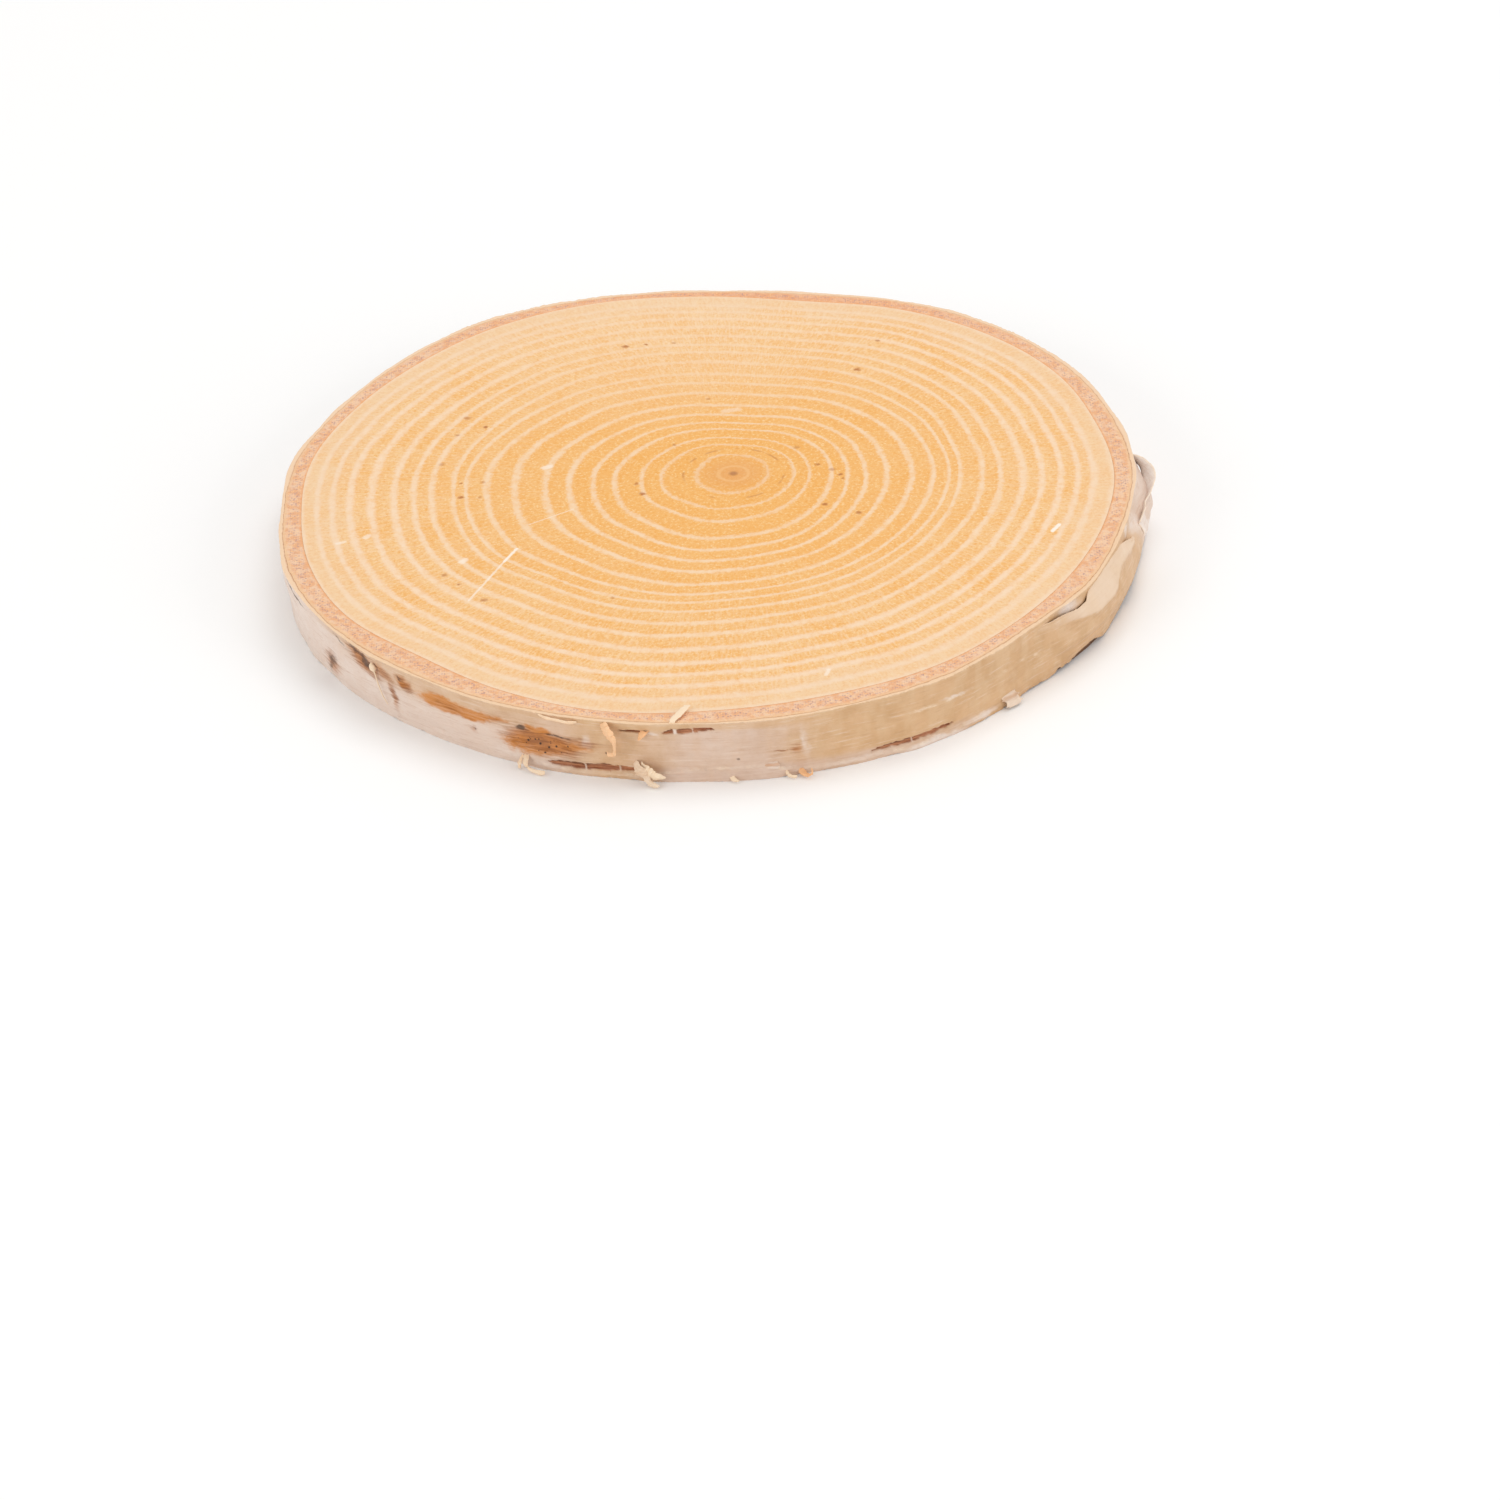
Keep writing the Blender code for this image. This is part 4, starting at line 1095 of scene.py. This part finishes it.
def make_folded_sheet(look):
    """The layer of paper at the right front that folds outwards, with its cream inner side above the fold."""
    columns = through(FOLDED_SHEET, 8)
    sheet, cream = [], []
    for angle, top_up, top_out, fold_up, fold_out in columns:
        ragged = line_noise(angle, (0.10, 0.9, 3.0, 0.0), (0.06, 3.1, 7.0, 0.0))
        bulge = float(np.interp(angle, BULGE_ANGLES, BULGE_OUT))
        profile = through([
            (2.8, 0.8 * bulge - 0.15), (3.8, bulge + 0.05), (4.8, max(bulge + 0.12, 0.75 * fold_out)),
            (fold_up - 0.45, max(0.9 * fold_out, bulge * 0.7 + 0.2)), (fold_up - 0.1, fold_out),
            (fold_up + 0.12, fold_out - 0.02),
            ((fold_up + top_up) / 2, 0.52 * fold_out + 0.48 * top_out + 0.1),
            (top_up - 0.25, 0.15 * fold_out + 0.85 * top_out), (top_up + ragged, top_out),
        ], 5)
        wave = line_noise(angle, (0.06, 0.35, 1.0, 9.0)) * np.linspace(0, 1, len(profile))
        wall = bulge * np.interp(profile[:, 0], BULGE_HEIGHTS, BULGE_SHARES) - 0.3
        loose = float(smooth_step(angle, 315.5, 320.0) * smooth_step(angle, 348.0, 345.0))
        sheet.append(wall_grid(angle, profile[:, 0], wall + (profile[:, 1] + wave - wall) * loose))
        cream.append(smooth_step(profile[:, 0], fold_up - 0.15, fold_up + 0.35))
    grid, cream = np.stack(sheet, 1), np.stack(cream, 1)
    rows, count = grid.shape[:2]
    pale = smooth_step(columns[:, 0][None, :], 318, 327)
    values = {
        "tan": (0.85 - cream * (0.15 + 0.35 * pale), 0.15),
        "white": (0.0, 0.4),
        "fresh": (cream * (0.03 + 0.09 * pale), 0.1),
        "torn": (0.7 * edge_share(rows, count, 0.03), edge_share(rows, count, 0.06)),
    }
    thin_sheet("folded_sheet", grid, PAPER_SHEET, values, look)


def make_standing_flap(look):
    """The white flap at the right, torn loose at its top and leaning away from the rim."""
    columns = through(STANDING_FLAP, 8)
    sheet = []
    for angle, top, out in columns:
        ragged = line_noise(angle, (0.16, 1.1, 5.0, 2.0), (0.08, 4.0, 2.0, 2.0))
        bulge = float(np.interp(angle, BULGE_ANGLES, BULGE_OUT))
        base = 3.0 + float(1.4 * smooth_step(angle, 359.5, 364.8) + 1.2 * smooth_step(angle, 353.0, 350.5))
        base += line_noise(angle, (0.4, 0.8, 9.0, 4.0))
        reach = top + ragged - base
        profile = through([
            (base, bulge - 0.2), (base + 0.22 * reach, bulge + 0.05),
            (base + 0.58 * reach, max(0.35 * out, bulge * 0.8)), (base + 0.8 * reach, 0.66 * out),
            (base + reach, out),
        ], 6)
        fold = 0.3 * bump((angle - FLAP_CREASE) / 1.6) * np.linspace(0.2, 1.0, len(profile))
        sheet.append(wall_grid(angle, profile[:, 0], profile[:, 1] - fold))
    grid = np.stack(sheet, 1)
    rows, count = grid.shape[:2]
    v = np.linspace(0, 1, rows)[:, None]
    crease = bump((columns[:, 0][None, :] - FLAP_CREASE) / 1.3) * bump((v - 0.5) / 0.5)
    values = {
        "tan": (0.15 + 0.7 * crease, 0.0),
        "white": (0.9 - 0.6 * crease, 1.0),
        "fresh": (0.0, 0.05),
        "torn": (edge_share(rows, count, 0.05), edge_share(rows, count, 0.08)),
    }
    thin_sheet("standing_flap", grid, PAPER_SHEET, values, look)


def make_curl(name, middle, orange, fold, path, look):
    """A narrow strip of paper that peels off the wall along a path to a torn end."""
    steps = through(path, 7)
    sides = np.linspace(-0.5, 0.5, 7)
    local_radius = smooth_radius(RIM_RADII, middle)
    own = middle * 0.37
    sheet = []
    for share, (stray, up, out, tilt, breadth) in zip(np.arange(len(steps)) / (len(steps) - 1), steps):
        wide = breadth * (1.0 + line_noise(share, (0.35, 9.0, own, 0.0), (0.3, 31.0, own, 2.0)))
        tear = line_noise(share, (0.12, 11.0, own, 5.0), (0.08, 37.0, own, 6.0))
        cup = fold * wide * (1.0 - np.abs(sides - sides[4]) / 0.67)
        round_by = stray + tear + sides * wide * math.cos(math.radians(tilt))
        rise = sides * wide * math.sin(math.radians(tilt))
        sheet.append(wall_grid(middle + np.degrees(round_by / local_radius), up + rise, out + cup))
    grid = np.array(sheet)
    edge = edge_share(*grid.shape[:2], 0.12)
    along = np.linspace(0, 1, len(steps))[:, None]
    values = {
        "tan": (0.3, 0.3),
        "white": (0.75 - orange, 0.6 - orange),
        "fresh": (0.9 * orange, orange),
        "stain": (0.3 * bump((along - 0.45) / 0.3), 0.5 * bump((along - 0.3) / 0.3)),
        "torn": (edge * 0.5, edge * 0.5),
    }
    thin_sheet(name, grid, CURL_SHEET, values, look)


def make_thread(name, middle, path, look):
    """A closed round thread along a path on the wall, thick where the path's radius is large."""
    steps = through(path, 6)
    angle = middle + np.degrees(steps[:, 0] / smooth_radius(RIM_RADII, middle))
    centre = wall_grid(angle, steps[:, 1], steps[:, 2])
    along = np.gradient(centre, axis=0)
    along /= np.linalg.norm(along, axis=1, keepdims=True)
    turn = math.radians(middle)
    first = np.cross(along, (math.cos(turn), math.sin(turn), 0.0))
    first /= np.linalg.norm(first, axis=1, keepdims=True)
    second = np.cross(along, first)
    sides, rows = 8, len(steps)
    circle = np.arange(sides) * 2 * math.pi / sides
    spread = np.cos(circle)[None, :, None] * first[:, None] + np.sin(circle)[None, :, None] * second[:, None]
    points = centre[:, None] + spread * steps[:, 3][:, None, None]
    faces, corner_map = [], []
    for row, side in np.ndindex(rows - 1, sides):
        here, after = row * sides + side, row * sides + (side + 1) % sides
        faces.append([here, after, after + sides, here + sides])
        low, high, left, right = row / rows, (row + 1) / rows, side / sides, (side + 1) / sides
        corner_map += [(left, low), (right, low), (right, high), (left, high)]
    faces += [list(range(sides))[::-1], list(range((rows - 1) * sides, rows * sides))]
    cap = np.stack([0.5 + 0.4 * np.cos(circle), 0.985 + 0.01 * np.sin(circle)], -1).tolist()
    corner_map += [*cap[::-1], *cap]
    thick = np.repeat(smooth_step(steps[:, 3], 0.2, 0.45), sides)
    values = dict.fromkeys(PAPER_VALUES, np.zeros(rows * sides))
    values.update(fresh=0.3 - 0.1 * thick, stain=0.2 * thick)
    piece = new_piece(name, points.reshape(-1, 3), faces, np.array(corner_map), values, look)
    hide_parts("bark")


def make_floor():
    """A plain pale floor."""
    mesh = bpy.data.meshes.new("floor")
    corners = [(x * FLOOR_HALF, y * FLOOR_HALF, 0) for x, y in ((-1, -1), (1, -1), (1, 1), (-1, 1))]
    mesh.from_pydata(corners, [], [(0, 1, 2, 3)])
    floor = bpy.data.objects.new("floor", mesh)
    bpy.context.scene.collection.objects.link(floor)
    pale = Look("floor", roughness=0.9, specular=0.1)
    cloud = pale.noise(pale.add("ShaderNodeTexCoord").outputs["Object"], 3.0)
    pale.feed(pale.shader.inputs["Base Color"], pale.blend(cloud, (247, 247, 247), (249, 249, 249)))
    mesh.materials.append(pale.material)


def make_light():
    """Soft light from all round and from three boxes."""
    world = bpy.data.worlds.new("studio")
    world.use_nodes = True
    background = world.node_tree.nodes["Background"]
    background.inputs["Color"].default_value = SKY_COLOUR
    background.inputs["Strength"].default_value = SKY_STRENGTH
    bpy.context.scene.world = world
    for name, (place, size, power) in SOFTBOXES.items():
        data = bpy.data.lights.new(name, "AREA")
        data.size = size
        data.energy = power
        lamp = bpy.data.objects.new(name, data)
        lamp.location = place
        lamp.rotation_euler = (-Vector(place)).to_track_quat("-Z", "Y").to_euler()
        bpy.context.scene.collection.objects.link(lamp)


def make_camera():
    """The camera whose frame shows the slice where the photograph does."""
    focal = PIXELS_PER_METRE * CAMERA_DISTANCE
    tilt = math.radians(CAMERA_ELEVATION)
    away = Vector((0.0, -math.cos(tilt), math.sin(tilt)))
    aim = Vector((np.array(AIM_POINT) + MIDDLE) * MM)
    centre = PHOTO_PIXELS / 2
    ray = Vector(((AIM_PIXEL[0] - centre) / focal, (centre - AIM_PIXEL[1]) / focal, -1.0))
    data = bpy.data.cameras.new("camera")
    data.sensor_width = SENSOR_MM
    data.sensor_fit = "HORIZONTAL"
    data.lens = SENSOR_MM * focal / PHOTO_PIXELS
    camera = bpy.data.objects.new("camera", data)
    camera.location = aim + away * CAMERA_DISTANCE
    camera.rotation_mode = "QUATERNION"
    look = (-away).to_track_quat("-Z", "Y")
    roll = Quaternion((0, 0, 1), math.radians(CAMERA_ROLL))
    camera.rotation_quaternion = look @ roll @ ray.rotation_difference(Vector((0, 0, -1)))
    bpy.context.scene.collection.objects.link(camera)
    bpy.context.scene.camera = camera


def random_flecks():
    """Pith flecks for the lower face, which the photograph doesn't show."""
    rng = np.random.default_rng(11)
    turns, radii = rng.uniform(0, 2 * math.pi, 20), rng.uniform(12, 50, 20)
    return [(radius * math.cos(turn), radius * math.sin(turn)) for turn, radius in zip(turns, radii)]


def make_slice():
    """Every piece of the slice."""
    upper_look = wood_look("sawn wood upper", FLECKS, SCRATCHES)
    lower_look = wood_look("sawn wood lower", random_flecks(), SCRATCHES[3:4])
    sawn_half("wood_upper", THICKNESS, THICKNESS / 2, upper_look)
    sawn_half("wood_lower", 0.0, THICKNESS / 2, lower_look)
    make_inner_bark()
    paper = paper_look()
    make_paper_bark(paper)
    make_folded_sheet(paper)
    make_standing_flap(paper)
    for name, curl in CURLS.items():
        make_curl(name, *curl, paper)
    for name, thread in THREADS.items():
        make_thread(name, *thread, paper)


make_slice()
make_floor()
make_light()
make_camera()
bpy.context.scene.view_settings.view_transform = "Standard"
